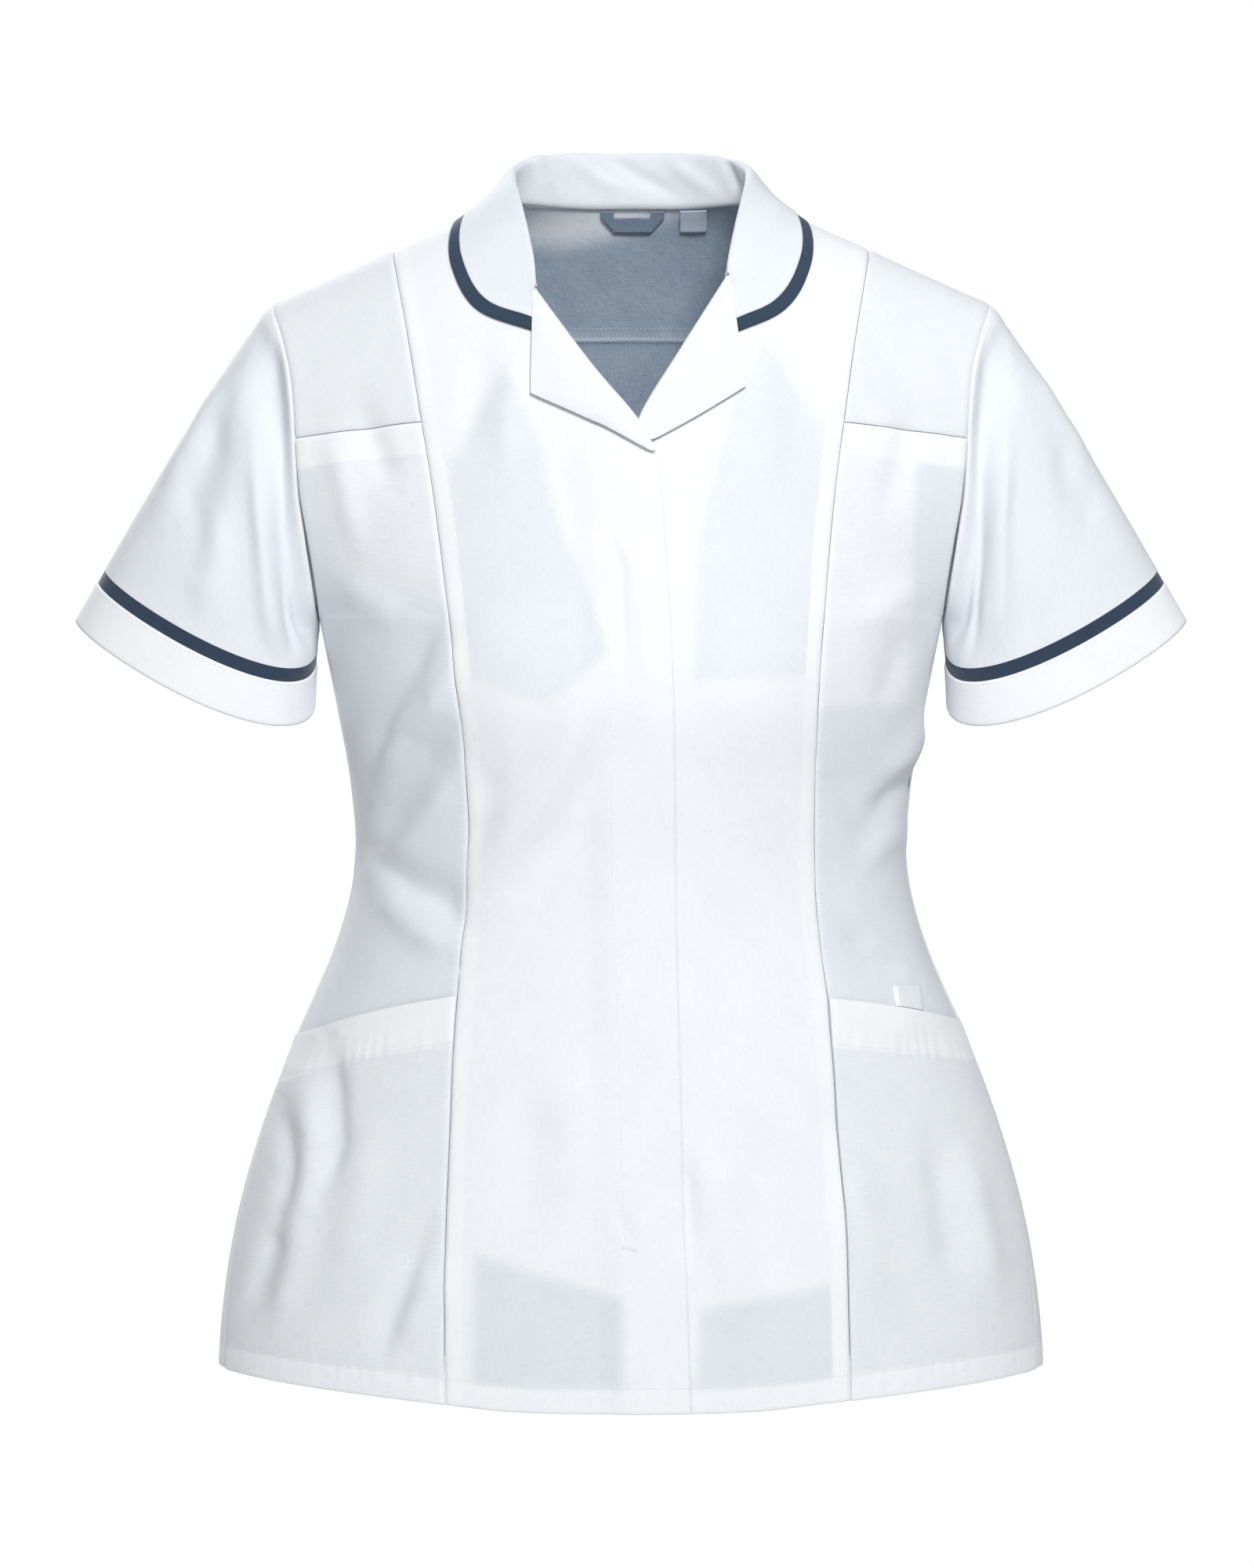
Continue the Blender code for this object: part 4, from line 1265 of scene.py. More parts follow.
@dataclass
class Fronts:
    """Centre fronts, side fronts and lower pockets."""

    shop: Workshop
    half_gap: float = LAYERS.seam_gap / 2.0
    shoulder_row: float = 0.02

    def centre_fronts(self) -> None:
        """Right and left fronts from the neckline along the lapel fold and the front edge down to the hem."""
        for side, edge, cells in ((Side.RIGHT, RIGHT_EDGE, (100, 250)), (Side.LEFT, LEFT_EDGE, (84, 250))):
            laps = side is Side.RIGHT
            panel = BodyPanel(
                "front_" + side.word, Face.FRONT, BODY.line(Face.FRONT, edge), princess(side, -self.half_gap),
                at_row(self.shoulder_row), at_level(Face.FRONT, HEM), cells, rolled=("outer",),
                bands={"outer": LAYERS.seam_band}, hem=True, base=0.85, patches=FRONT_LAYERS_AND_SHADE[side],
                stitched={"bottom": LAYERS.hem_depth}, turned_down=0.8 if laps else 0.0,
                lift=LAYERS.lap if laps else BodyPanel.lift,
            )
            self.shop.panel(panel, Cut(0.175, 0.75, area=0.09))

    def side_fronts(self) -> None:
        """Side fronts above and below the chest seam, and the lower pockets on them."""
        hem, half, face = at_level(Face.FRONT, HEM), self.half_gap, Face.FRONT
        for side in Side:
            word, sides = side.word, (princess(side, half), BODY.edge_line(face, side, half + 0.15))
            # Painted shade: the upper side fronts get a low layer share, a darker white, to offset the strong
            # light on the shoulders.
            upper = BodyPanel(
                "upper_side_front_" + word, face, *sides, at_row(self.shoulder_row),
                at_level(face, CHEST_SEAM, half), (34, 46), base=0.5,
                rolled=("inner", "outer", "top", "bottom"),
            )
            lower = BodyPanel(
                "side_front_" + word, face, *sides, at_level(face, CHEST_SEAM, -half), hem, (56, 210),
                bands={"top": 19.0}, hem=True, base=0.3, patches=SIDE_LAYERS[side],
            )
            pocket = BodyPanel(
                "lower_pocket_" + word, face, *sides, at_level(face, POCKET_MOUTH[side]), hem, (104, 90),
                rolled=("inner", "outer"), base=0.45, bands={"top": 28.0}, hem=True,
                stitched={"bottom": LAYERS.hem_depth, "top": LAYERS.mouth_depth},
                lift=constant(LAYERS.solid_wall + LAYERS.layer_gap),
            )
            self.shop.panel(upper, Cut(0.09, 0.13))
            self.shop.panel(lower, Cut(0.185, 0.585, area=0.07))
            cut = Cut(0.17, 0.245, area=0.031, held=Held.LAID, rests_on=("side_front_" + word,))
            self.shop.panel(pocket, cut)

    def build(self) -> None:
        """Make every front piece."""
        self.centre_fronts()
        self.side_fronts()


@dataclass
class Back:
    """Yoke, back, hanging loop and size tag."""

    shop: Workshop
    neck_half_width: float = 76.0
    neck_depth: float = 48.5
    shoulder_row: float = 0.02
    label_drop: float = 1.3

    def neck_row(self, x: Array) -> Array:
        """Rows at which the neckline passes.

        Args:
            x: Distances from the centre in mm.

        Returns:
            One row for each, not above the shoulder seam.
        """
        x = np.asarray(x, dtype=float)
        depth = self.neck_depth * np.sqrt(np.clip(1.0 - (x / self.neck_half_width) ** 2, 0.0, 1.0))
        top, bottom = np.zeros(x.shape), np.full(x.shape, float(BODY.underarm))
        for _ in range(26):
            row = (top + bottom) / 2.0
            short = BODY.point_mm(Face.BACK, row, BODY.across_at(Face.BACK, row, x))[..., 1] < depth
            top, bottom = np.where(short, row, top), np.where(short, bottom, row)
        return np.maximum(row, self.shoulder_row)

    def yoke_top(self, across_of: RowLine, shape: tuple[int, ...]) -> Array:
        """Rows of the yoke's top: the neckline in the middle, the shoulder seams beside it."""
        row = np.full(shape, self.shoulder_row)
        for _ in range(10):
            x = np.abs(BODY.point_mm(Face.BACK, row, across_of(row))[..., 0])
            row = np.where(x < self.neck_half_width, self.neck_row(x), self.shoulder_row)
        return row

    def seam(self, side: Side, clear: float) -> RowLine:
        """Fitting seam of the back, moved away from the centre by clear (mm)."""
        return BODY.line(Face.BACK, lambda z: side.value * (BACK_SEAM(z) + clear))

    def panels(self) -> None:
        """Yoke, centre back and side backs."""
        half = LAYERS.seam_gap / 2.0
        edges = {side: BODY.edge_line(Face.BACK, side, half + 0.15) for side in Side}
        top, bottom = at_level(Face.BACK, YOKE_SEAM, 0.5), at_level(Face.BACK, HEM_BACK)
        yoke = BodyPanel(
            "back_yoke", Face.BACK, edges[Side.RIGHT], edges[Side.LEFT], self.yoke_top,
            at_level(Face.BACK, YOKE_SEAM, half), (150, 44), rolled=("inner", "outer", "top", "bottom"),
            bands={"bottom": 11.0, "top": 8.0}, base=0.75, inside_shade_patches=YOKE_INSIDE_SHADE,
        )
        centre = BodyPanel(
            "back_body", Face.BACK, self.seam(Side.RIGHT, -half), self.seam(Side.LEFT, -half), top, bottom,
            (110, 200), bands={"inner": LAYERS.seam_band, "outer": LAYERS.seam_band}, hem=True, base=0.65,
            stitched={"bottom": LAYERS.hem_depth},
        )
        self.shop.panel(yoke, Cut(0.46, 0.11, area=0.038))
        self.shop.panel(centre, Cut(0.26, 0.655, area=0.145))
        for side in Side:
            panel = BodyPanel(
                "side_back_" + side.word, Face.BACK, self.seam(side, half), edges[side], top, bottom,
                (66, 200), bands={"outer": 9.0}, hem=True, stitched={"bottom": LAYERS.hem_depth}, base=0.55,
            )
            self.shop.panel(panel, Cut(0.18, 0.65, area=0.082))

    def labels(self) -> None:
        """Plain hanging loop and plain size tag, inside the back of the neck."""
        face, lift = Face.BACK, constant(-LAYERS.solid_wall - self.label_drop + LAYERS.wall)
        for name, left, right, top, bottom, width in (
            ("neck_label", -18.5, 20.5, 5.8, -7.0, 0.039), ("size_tag", 30.5, 46.5, 5.6, -6.9, 0.017),
        ):
            grid = BodyPanel(
                name, face, at_x(face, left), at_x(face, right), at_level(face, constant(top)),
                at_level(face, constant(bottom)), (26, 12), rolled=(), lift=lift,
            ).grid()
            far = grid.from_edges()
            sag = np.sin(np.pi * far["inner"] / (far["inner"] + far["outer"])) * ease(far["top"], 0.0, 6.0)
            grid.raise_by(-0.5 * sag)
            grid.layers[:] = float(name == "size_tag")
            made = sheet_object(name + "_tape", grid, TAPE, 0.5)
            if name == "neck_label":
                self.cut_window(made, (-10.5, 12.5), 0.7)
                for corner, lean in ((left, -1.0), (right, 1.0)):
                    self.cut_corner(made, corner, bottom, lean)
            cut = Cut(width, 0.014, held=Held.LAID, rests_on=("back_yoke_cloth",))
            self.shop.sheet(made, TAPE, name, cut)

    def cut_window(self, made: bpy.types.Object, across: tuple[float, float], bottom: float) -> None:
        """Open the loop between its two legs.

        Args:
            made: The tape.
            across: Left and right of the window in mm.
            bottom: Height of its lower edge in mm.
        """
        low, high, sill = across[0] * MM, across[1] * MM, bottom * MM
        cuts = (((low, 0, 0), (1, 0, 0)), ((high, 0, 0), (1, 0, 0)), ((0, 0, sill), (0, 0, 1)))
        with editing(made.data) as bm:
            for place, way in cuts:
                split(bm, place, way)
            spots = [(face, face.calc_center_median()) for face in bm.faces]
            spare = [face for face, spot in spots if low < spot.x < high and spot.z > sill]
            bmesh.ops.delete(bm, geom=spare, context="FACES")

    def cut_corner(
        self, made: bpy.types.Object, x: float, bottom: float, lean: float, size: float = 7.5
    ) -> None:
        """Cut a lower corner of the loop off at a slant.

        Args:
            made: The tape.
            x: Distance of the corner from the centre in mm.
            bottom: Its height in mm.
            lean: Side of the tape, -1 or 1.
            size: Length cut off along each edge in mm.
        """
        with editing(made.data) as bm:
            split(bm, ((x - lean * size) * MM, 0, bottom * MM), (lean, 0, -1), clear=True)

    def build(self) -> None:
        """Make every back piece."""
        self.panels()
        self.labels()


@dataclass(frozen=True)
class LapelOutline:
    """Corner points of a lapel in the front view, as x and z in mm."""

    fold: tuple[tuple[float, float], ...]
    edge: tuple[tuple[float, float], ...]

    def along(self, points: Sequence[tuple[float, float]], share: Array) -> Array:
        """Smooth curve through evenly spaced points."""
        places = np.linspace(0.0, 1.0, len(points))
        curves = [Curve(tuple(zip(places, values))) for values in zip(*points)]
        return np.stack([curve(share) for curve in curves], -1)

    def fold_at(self, share: Array) -> Array:
        """Points of the fold line."""
        return self.along(self.fold, share)

    def edge_at(self, share: Array) -> Array:
        """Points of the outer edge, down to its corner and along its bottom."""
        start, corner = np.array(self.edge[0]), np.array(self.edge[1])
        upper = start + (corner - start) * np.minimum(share * 2.0, 1.0)[..., None]
        lower = self.along(self.edge[1:], np.clip(share * 2.0 - 1.0, 0.0, 1.0))
        return np.where((share < 0.5)[..., None], upper, lower)


@dataclass
class FrontDetails:
    """Lapels, zip strip and pen pocket."""

    shop: Workshop
    puff: float = 1.6
    roll: float = 1.1
    outlines: dict[Side, LapelOutline] = field(default_factory=lambda: {
        Side.RIGHT: LapelOutline(
            ((-56.4, -56.5), (-26, -98), (2.6, -133.5), (12.6, -152)),
            ((-57.0, -57.5), (-58, -117), (-20, -134.5), (10.5, -151.5)),
        ),
        Side.LEFT: LapelOutline(
            ((57.2, -48), (31, -90), (6.2, -132), (11.6, -144.8)),
            ((57.8, -49), (66.3, -113), (38, -130.5), (14.2, -144)),
        ),
    })

    def lapel(self, side: Side) -> None:
        """Turned-back top of a front, with its soft roll along the fold."""
        outline = self.outlines[side]
        rolled = 6
        shares = np.concatenate([np.zeros(rolled), line_shares(40, True)])
        turns = np.concatenate([np.linspace(0.0, np.pi, rolled + 1)[:-1], np.full(41, np.pi)])
        downs = line_shares(64, True)[:, None] * np.ones(shares.size)
        fold, edge = outline.fold_at(downs), outline.edge_at(downs)
        spot = fold + (edge - fold) * shares[None, :, None]
        away = unit(fold - edge, 1e-6)
        spot = spot + away * (self.roll * np.sin(turns))[None, :, None]
        x, z = spot[..., 0], spot[..., 1]
        base = LAYERS.lap(x, z) if side is Side.RIGHT else np.zeros(x.shape)
        full = LAYERS.solid_wall + LAYERS.lapel_gap
        height = base + full * (1.0 - np.cos(turns)) / 2.0
        height = height + self.puff * np.sin(np.pi * shares) * np.sin(np.pi * downs)
        row, across = BODY.place(Face.FRONT, x, z)
        points, normals = BODY.surface(Face.FRONT, row, across, height)
        # Painted shade: the folded lapel gets a lower layer share than its layers have, a darker white, to
        # offset the strong light on it.
        grid = Grid(points, normals, np.full(x.shape, 0.7))
        cut = Cut(0.07, 0.1, area=0.0028, held=Held.FOLDED, rests_on=("front_" + side.word,))
        self.shop.cloth("lapel_" + side.word, grid, cut, WHITE, 0.9)

    def strip(self) -> None:
        """Tape of the closed zip, hidden under the lap."""
        face = Face.FRONT
        inner, outer = (
            BODY.line(face, lambda z, reach=reach: LEFT_EDGE(z) + reach) for reach in (-13.0, 13.0)
        )
        grid = BodyPanel(
            "front_zip", face, inner, outer, at_level(face, constant(-158.0)),
            at_level(face, constant(-612.0)), (24, 180), rolled=(), lift=constant(-2.3),
        ).grid()
        middle = np.abs(grid.from_edges()["inner"] - 13.0)
        grid.raise_by(-0.9 * np.exp(-((middle / 2.2) ** 4)))
        made = sheet_object("front_zip_tape", grid, WHITE, 0.6)
        self.shop.sheet(made, WHITE, "front_zip", Cut(0.026, 0.46))

    def pen_pocket(self) -> None:
        """Top of the narrow pocket above the mouth of the left lower pocket."""
        face = Face.FRONT
        grid = BodyPanel(
            "pen_pocket", face, at_x(face, 154.6), at_x(face, 171.5), at_level(face, constant(-463.0)),
            at_level(face, POCKET_MOUTH[Side.LEFT], 0.45), (20, 18), rolled=("inner", "outer"),
            lift=lambda x, z: 0.95 + 0.9 * ease(-z, 463.0, 478.0),
        ).grid()
        grid.layers = 0.45 + 0.45 * (1.0 - ease(grid.from_edges()["inner"], 2.5, 3.5))
        cut = Cut(0.022, 0.018, held=Held.LAID, rests_on=("side_front_left",))
        self.shop.cloth("pen_pocket", grid, cut, WHITE, LAYERS.wall)

    def build(self) -> None:
        """Make every detail of the front."""
        for side in Side:
            self.lapel(side)
        self.strip()
        self.pen_pocket()


@dataclass
class Sleeves:
    """Sleeves with their navy trims and cuffs, each a closed tube that ends in a slanted oval."""

    shop: Workshop
    outer: tuple[float, float, float] = (333.0, 0.0, -246.0)
    inner: tuple[float, float, float] = (189.5, 0.0, -298.0)
    depth: float = 45.0
    dip_front: float = 22.0
    dip_back: float = 12.0
    dip_inward: float = 0.35
    dip_soft: float = 0.16
    bulge: float = 3.5
    bulge_early: float = 0.7
    underarm_clear: float = 0.6
    cuff: float = 27.0
    trim: float = 8.0
    girth_per_degree: float = 0.95
    tuck: float = 1.6
    crease_left: float = 0.04
    crease_end: tuple[float, float] = (36.0, 66.0)
    creases: dict[Side, Folds] = field(default_factory=lambda: {
        Side.RIGHT: Folds((
            Fold(((30, 15), (60, 19), (94, 20), (134, 21), (166, 21)), -6.2, 16.0, fade=0.12, skew=-0.2),
            Fold(((56, 40), (90, 52), (118, 72), (136, 100)), 3.4, 13.0, skew=0.3),
            Fold(((96, 30), (128, 46), (150, 78)), -3.2, 10.0),
            Fold(((30, 56), (40, 88), (42, 124)), -3.4, 13.0, skew=0.2),
            Fold(((62, 76), (72, 106), (78, 140)), 2.2, 11.0),
            Fold(((14, 50), (22, 90), (20, 128)), 2.0, 10.0),
            Fold(((104, 92), (112, 118), (108, 140)), -1.8, 9.0),
            Fold(((196, 20), (214, 50), (222, 90)), -2.4, 10.0),
            Fold(((250, 20), (268, 60), (276, 104)), 2.2, 12.0),
            Fold(((300, 30), (306, 76), (318, 120)), -1.8, 12.0),
        )),
        Side.LEFT: Folds((
            Fold(((30, 14), (58, 18), (92, 20), (130, 21), (164, 20)), -6.0, 15.0, fade=0.12, skew=-0.2),
            Fold(((52, 36), (84, 50), (106, 76), (114, 108)), 3.0, 12.0, skew=0.3),
            Fold(((84, 22), (114, 38), (138, 66), (146, 96)), -2.8, 8.0),
            Fold(((30, 76), (38, 104), (34, 138)), -2.2, 12.0),
            Fold(((14, 40), (18, 78), (14, 112)), 1.8, 11.0),
            Fold(((88, 88), (98, 112), (96, 140)), -1.6, 9.0),
            Fold(((200, 26), (220, 58), (226, 96)), -2.0, 10.0),
            Fold(((262, 30), (276, 70), (286, 112)), 2.0, 12.0),
        )),
    })

    def ends(self, turn: Array) -> tuple[Array, Array, Array]:
        """Start on the armhole, end on the cuff's ring and outward way, in mm on the wearer's left."""
        turn = np.asarray(turn, dtype=float)
        swing = np.radians(turn)
        front = turn <= 180.0
        fore, aft = BODY.armhole.point(Face.FRONT, turn), BODY.armhole.point(Face.BACK, 360.0 - turn)
        start = np.where(front[..., None], fore, aft)
        outer, inner = np.array(self.outer), np.array(self.inner)
        half, middle = (outer - inner) / 2.0, (outer + inner) / 2.0
        end = middle + half * np.cos(swing)[..., None]
        end[..., 1] -= self.depth * np.sin(swing)
        dip = np.where(front, self.dip_front, self.dip_back)
        soft = self.dip_soft * (1.0 + np.cos(swing)) / 2.0
        low = (np.hypot(np.sin(swing), soft) - soft) / (np.hypot(1.0, soft) - soft)
        end[..., 2] -= dip * low * (1.0 - self.dip_inward * np.cos(swing))
        start[..., 0] += self.underarm_clear * (1.0 - np.cos(swing)) / 2.0
        outward = half / np.linalg.norm(half) * np.cos(swing)[..., None]
        outward[..., 1] -= np.sin(swing)
        return start, end, outward

    def point(self, side: Side, turn: Array, run: Array) -> Array:
        """Points of the plain sleeve in mm: turn in degrees round it, run from 0 to 1 down it."""
        start, end, outward = self.ends(turn)
        swell = self.bulge * np.cos(np.radians(turn) / 2.0) ** 2
        swell = swell * np.sin(np.pi * np.maximum(run, 0.0) ** self.bulge_early)
        point = start + (end - start) * run[..., None] + outward * swell[..., None]
        return point * np.array([side.value, 1.0, 1.0])

    def band(self, side: Side, first: Optional[float], last: float, cells: tuple[int, int]) -> Grid:
        """Stretch of the sleeve between two distances from its end.

        Args:
            side: Which sleeve.
            first: Distance of its start from the end in mm, or None for the armhole.
            last: Distance of its end from the sleeve's end in mm.
            cells: Cells round it and down it.

        Returns:
            Closed sheet, rows down.
        """
        turn = np.linspace(0.0, 360.0, cells[0] + 1)
        start, end, _ = self.ends(turn)
        size = np.linalg.norm(end - start, axis=-1)
        top = -self.tuck / size if first is None else 1.0 - first / size
        downs = line_shares(cells[1], first is None)[:, None]
        run = top + (1.0 - last / size - top) * downs
        turns = np.broadcast_to(turn, run.shape)
        plain = self.point(side, turns % 360.0, run)
        around = self.point(side, (turns + 1.5) % 360.0, run) - self.point(side, (turns - 1.5) % 360.0, run)
        down = self.point(side, turns % 360.0, run + 0.01) - self.point(side, turns % 360.0, run - 0.01)
        normal = unit(np.cross(around, down) * side.value)
        far = run * size
        height = self.creases[side].heights(turns * self.girth_per_degree, far) * ease(far, -1.0, 8.0)
        height = height * (self.crease_left + (1.0 - self.crease_left) * ease(size - far, *self.crease_end))
        if first is None:
            height = height - 1.9 * bell(far + self.tuck, 1.7) + 0.5 * bell(far - 7.0, 4.5)
        grid = Grid((plain + normal * height[..., None]) * MM, normal, np.zeros(run.shape), closed=True)
        grid.points[:, -1], grid.normals[:, -1] = grid.points[:, 0], grid.normals[:, 0]
        return grid

    def build(self) -> None:
        """Make both sleeves, trims and cuffs."""
        whole = self.cuff + self.trim
        for side in Side:
            sleeve = self.band(side, None, whole + 0.2, (150, 74))
            sleeve.layers = np.maximum(0.38, 0.7 * (1.0 - ease(sleeve.lengths(0), 8.0, 11.0)))
            trim = self.band(side, whole + 1.5, self.cuff - 1.5, (150, 6))
            trim.raise_by(np.full(trim.layers.shape, -0.35))
            cuff = self.band(side, self.cuff, 0.0, (150, 20))
            cuff.layers = np.ones(cuff.layers.shape)
            far = cuff.from_edges()
            cuff.raise_by(0.3 * ease(far["top"], 0.0, 1.2) - 0.4 * bell(far["bottom"], 0.9))
            for name, grid, cut, finish, wall in (
                ("sleeve_", sleeve, Cut(0.37, 0.165, area=0.041), WHITE, LAYERS.wall),
                ("sleeve_trim_", trim, Cut(0.33, 0.011), NAVY, 0.6),
                ("cuff_", cuff, Cut(0.33, 0.027), WHITE, 1.0),
            ):
                self.shop.cloth(name + side.word, grid, cut, finish, wall)


@dataclass(frozen=True)
class Station:
    """One section of the collar in mm: where it is sewn on, where it rolls over and where it ends.

    The neck column names a place on the neckline: for the back by its distance from the centre, for the front
    by row.
    """

    face: Face
    neck: float
    roll: tuple[float, float, float]
    edge: tuple[float, float, float]


@dataclass
class Collar:
    """Collar that stands, rolls over and lies on the body, with its flat piping."""

    shop: Workshop
    back: Back
    stand_clear: float = 2.0
    roll_radius: float = 2.4
    clear: float = 1.55
    trim: float = 8.0
    overlap_rows: float = 0.14
    smoothing: int = 16
    run_scale: float = 400.0
    creases: Folds = Folds((
        Fold(((138, 36), (144, 22), (150, 8)), 1.1, 4.0),
        Fold(((160, 36), (176, 22), (198, 12)), 1.3, 5.0, skew=0.3),
        Fold(((182, 37), (204, 22), (232, 9)), -1.3, 5.0),
        Fold(((224, 32), (240, 20), (254, 8)), 1.0, 5.0),
        Fold(((258, 36), (266, 20), (272, 8)), -1.2, 4.0),
        Fold(((44, 86), (52, 72), (64, 60)), 0.8, 4.0),
        Fold(((62, 88), (70, 76), (80, 64)), -0.8, 3.5),
        Fold(((84, 88), (92, 74)), 0.7, 3.5),
        Fold(((104, 88), (110, 70)), -0.6, 4.0),
        Fold(((18, 80), (30, 62), (38, 48)), -0.9, 5.0),
        Fold(((356, 86), (348, 72), (338, 60)), 0.8, 4.0),
        Fold(((336, 88), (328, 74), (320, 62)), -0.8, 3.5),
        Fold(((310, 88), (304, 74)), 0.7, 3.5),
        Fold(((382, 80), (372, 64), (364, 50)), -0.9, 5.0),
        Fold(((292, 88), (288, 70)), -0.6, 4.0),
    ))
    neck_centre: tuple[float, float, float] = (0.0, -12.0, 34.0)
    stations: tuple[Station, ...] = (
        Station(Face.BACK, 0, (0, 54, 40), (0, 63, -4)),
        Station(Face.BACK, 20, (19, 52.5, 40), (21, 62, -4.5)),
        Station(Face.BACK, 38, (37, 46.5, 39), (42, 57, -7)),
        Station(Face.BACK, 60, (58, 33, 35.5), (73, 42, -10)),
        Station(Face.BACK, 73.5, (69.5, 14, 27.5), (94, 15, -4)),
        Station(Face.FRONT, 0.5, (69.3, -8, 18), (101, -11, -6)),
        Station(Face.FRONT, 1.5, (67, -27, 8), (105.5, -31, -15)),
        Station(Face.FRONT, 2.3, (63.9, -44, -5), (106, -48, -32)),
        Station(Face.FRONT, 3.0, (60.2, -58, -21.5), (101.5, -64, -51)),
        Station(Face.FRONT, 3.6, (56.9, -69, -38), (88, -76, -68)),
    )
    ends: dict[Side, Station] = field(default_factory=lambda: {
        Side.RIGHT: Station(Face.FRONT, 4.0, (56.2, -76.5, -52), (56.8, -85, -79.5)),
        Side.LEFT: Station(Face.FRONT, 3.8, (56.6, -73.5, -44.5), (62.6, -85, -79.5)),
    })

    def hull(self) -> BVHTree:
        """Search tree over the outside of the body."""
        bm = bmesh.new()
        for face in Face:
            sheet = bmesh.ops.create_grid(bm, x_segments=90, y_segments=60, size=1.0)["verts"]
            across = np.array([vert.co.x for vert in sheet])
            row = np.array([(1.0 - vert.co.y) / 2.0 for vert in sheet]) * BODY.underarm
            for vert, point in zip(sheet, BODY.surface(face, row, across)[0]):
                vert.co = Vector(point)
        tree = BVHTree.FromBMesh(bm)
        bm.free()
        return tree

    def rest(self, tree: BVHTree, point: Vector, pull: bool = False) -> Vector:
        """Point kept clear of the body.

        Args:
            tree: The body.
            point: Point in metres.
            pull: Whether a point further off comes down to that height too.

        Returns:
            The point, moved where needed.
        """
        spot = tree.find_nearest(point)[0]
        away = point - spot
        outward = Vector((spot.x, spot.y, 0.02))
        height = away.length if away.dot(outward) > 0.0 else -away.length
        if height >= self.clear * MM and not pull:
            return point
        direction = away.normalized() if height > 0.2 * MM else outward.normalized()
        return spot + direction * (self.clear * MM)

    def neck_spot(self, side: Side, station: Station, below: float = 0.0) -> Array:
        """Start of the collar over the neckline, moved a little towards the middle of the neck.

        Args:
            side: Half of the collar.
            station: Section of the collar.
            below: Rows of the body below the neckline.

        Returns:
            Point in mm.
        """
        if station.face is Face.BACK:
            row = self.back.neck_row(np.array(station.neck))
            across = BODY.across_at(Face.BACK, row, np.array(station.neck))
            spot = BODY.point_mm(Face.BACK, row + below, across)
        else:
            line = BODY.line(Face.FRONT, RIGHT_EDGE if side is Side.RIGHT else LEFT_EDGE)
            spot = BODY.point_mm(Face.FRONT, np.array(station.neck + below), line(station.neck))
            spot[0] = abs(spot[0])
        gap = np.array(self.neck_centre) - spot
        return spot + gap / np.linalg.norm(gap) * self.stand_clear

    def lines(self) -> dict[tuple[Side, str], list[Curve]]:
        """Neck, roll and edge lines of each half over the share from the centre back to the front end."""
        made = {}
        count = len(self.stations)
        for side in Side:
            stations = self.stations + (self.ends[side],)
            for name in ("low", "neck", "roll", "edge"):
                if name in ("roll", "edge"):
                    spots = [np.array(getattr(station, name)) for station in stations]
                else:
                    below = self.overlap_rows if name == "low" else 0.0
                    spots = [self.neck_spot(side, station, below) for station in stations]
                runs = []
                for axis in range(3):
                    values = [float(spot[axis]) for spot in spots]
                    before = values[1] if axis else -values[1]
                    marks = [(i / count, value) for i, value in enumerate(values)]
                    runs.append(Curve(((-1.0 / count, before), *marks)))
                made[side, name] = runs
        return made

    def section(self, neck: Vector, roll: Vector, edge: Vector) -> list[Vector]:
        """Points of a section from the neck seam over the roll to the outer edge, in metres."""
        up = (roll - (neck + edge) / 2.0).normalized()
        across = edge - neck
        out = (across - up * across.dot(up)).normalized()
        radius = min(self.roll_radius * MM, 0.4 * (roll - neck).length)
        centre = roll - up * radius
        points = [neck, neck.lerp(centre - out * radius, 0.5)]
        for angle in (180.0, 125.0, 70.0, 15.0):
            swing = math.radians(angle)
            points.append(centre + out * radius * math.cos(swing) + up * radius * math.sin(swing))
        last = points[-1]
        return points + [last.lerp(edge, share) for share in (0.25, 0.5, 0.72, 1.0)]

    def surface(self, columns: int, rows: int) -> Array:
        """Points of the whole collar from its right front end to its left one.

        Args:
            columns: Sections along it.
            rows: Points in each section, evenly spaced.

        Returns:
            Points in metres, rows first.
        """
        tree, lines = self.hull(), self.lines()
        points = np.zeros((rows, columns, 3))
        for column, share in enumerate(np.linspace(0.0, 1.0, columns)):
            side = Side.RIGHT if share < 0.5 else Side.LEFT
            out = abs(share - 0.5) * 2.0
            spots = {}
            for name in ("low", "neck", "roll", "edge"):
                x, y, z = (float(run(out)) * MM for run in lines[side, name])
                spots[name] = Vector((side.value * x, y, z))
            edge = self.rest(tree, spots["edge"], pull=True)
            section = self.section(spots["neck"], spots["roll"], edge)
            section = section[:4] + [self.rest(tree, point) for point in section[4:]]
            coarse = np.array([spots["low"], *section])
            run = run_of(coarse)
            for axis in range(3):
                curve = Curve(tuple(zip(run.tolist(), coarse[:, axis].tolist())))
                points[:, column, axis] = curve(np.linspace(0.0, run[-1], rows))
        for _ in range(self.smoothing):
            points[:, 1:-1] = 0.5 * points[:, 1:-1] + 0.25 * (points[:, :-2] + points[:, 2:])
        return points

    def normals(self, points: Array) -> Array:
        """Normals of a sheet of points that face away from the inside of the collar's roll."""
        over, down = np.gradient(points, axis=1), np.gradient(points, axis=0)
        return unit(np.cross(down, over), 1e-12)

    def cut_between(self, points: Array, first: float, last: float, rows: int) -> Array:
        """Part of each section between two distances before its outer edge, in mm."""
        made = np.zeros((rows, *points.shape[1:]))
        for column in range(points.shape[1]):
            run = run_of(points[:, column]) / MM
            start = 0.0 if first < 0.0 else run[-1] - first
            made[:, column] = along_line(np.linspace(start, run[-1] - last, rows), run, points[:, column])
        return made

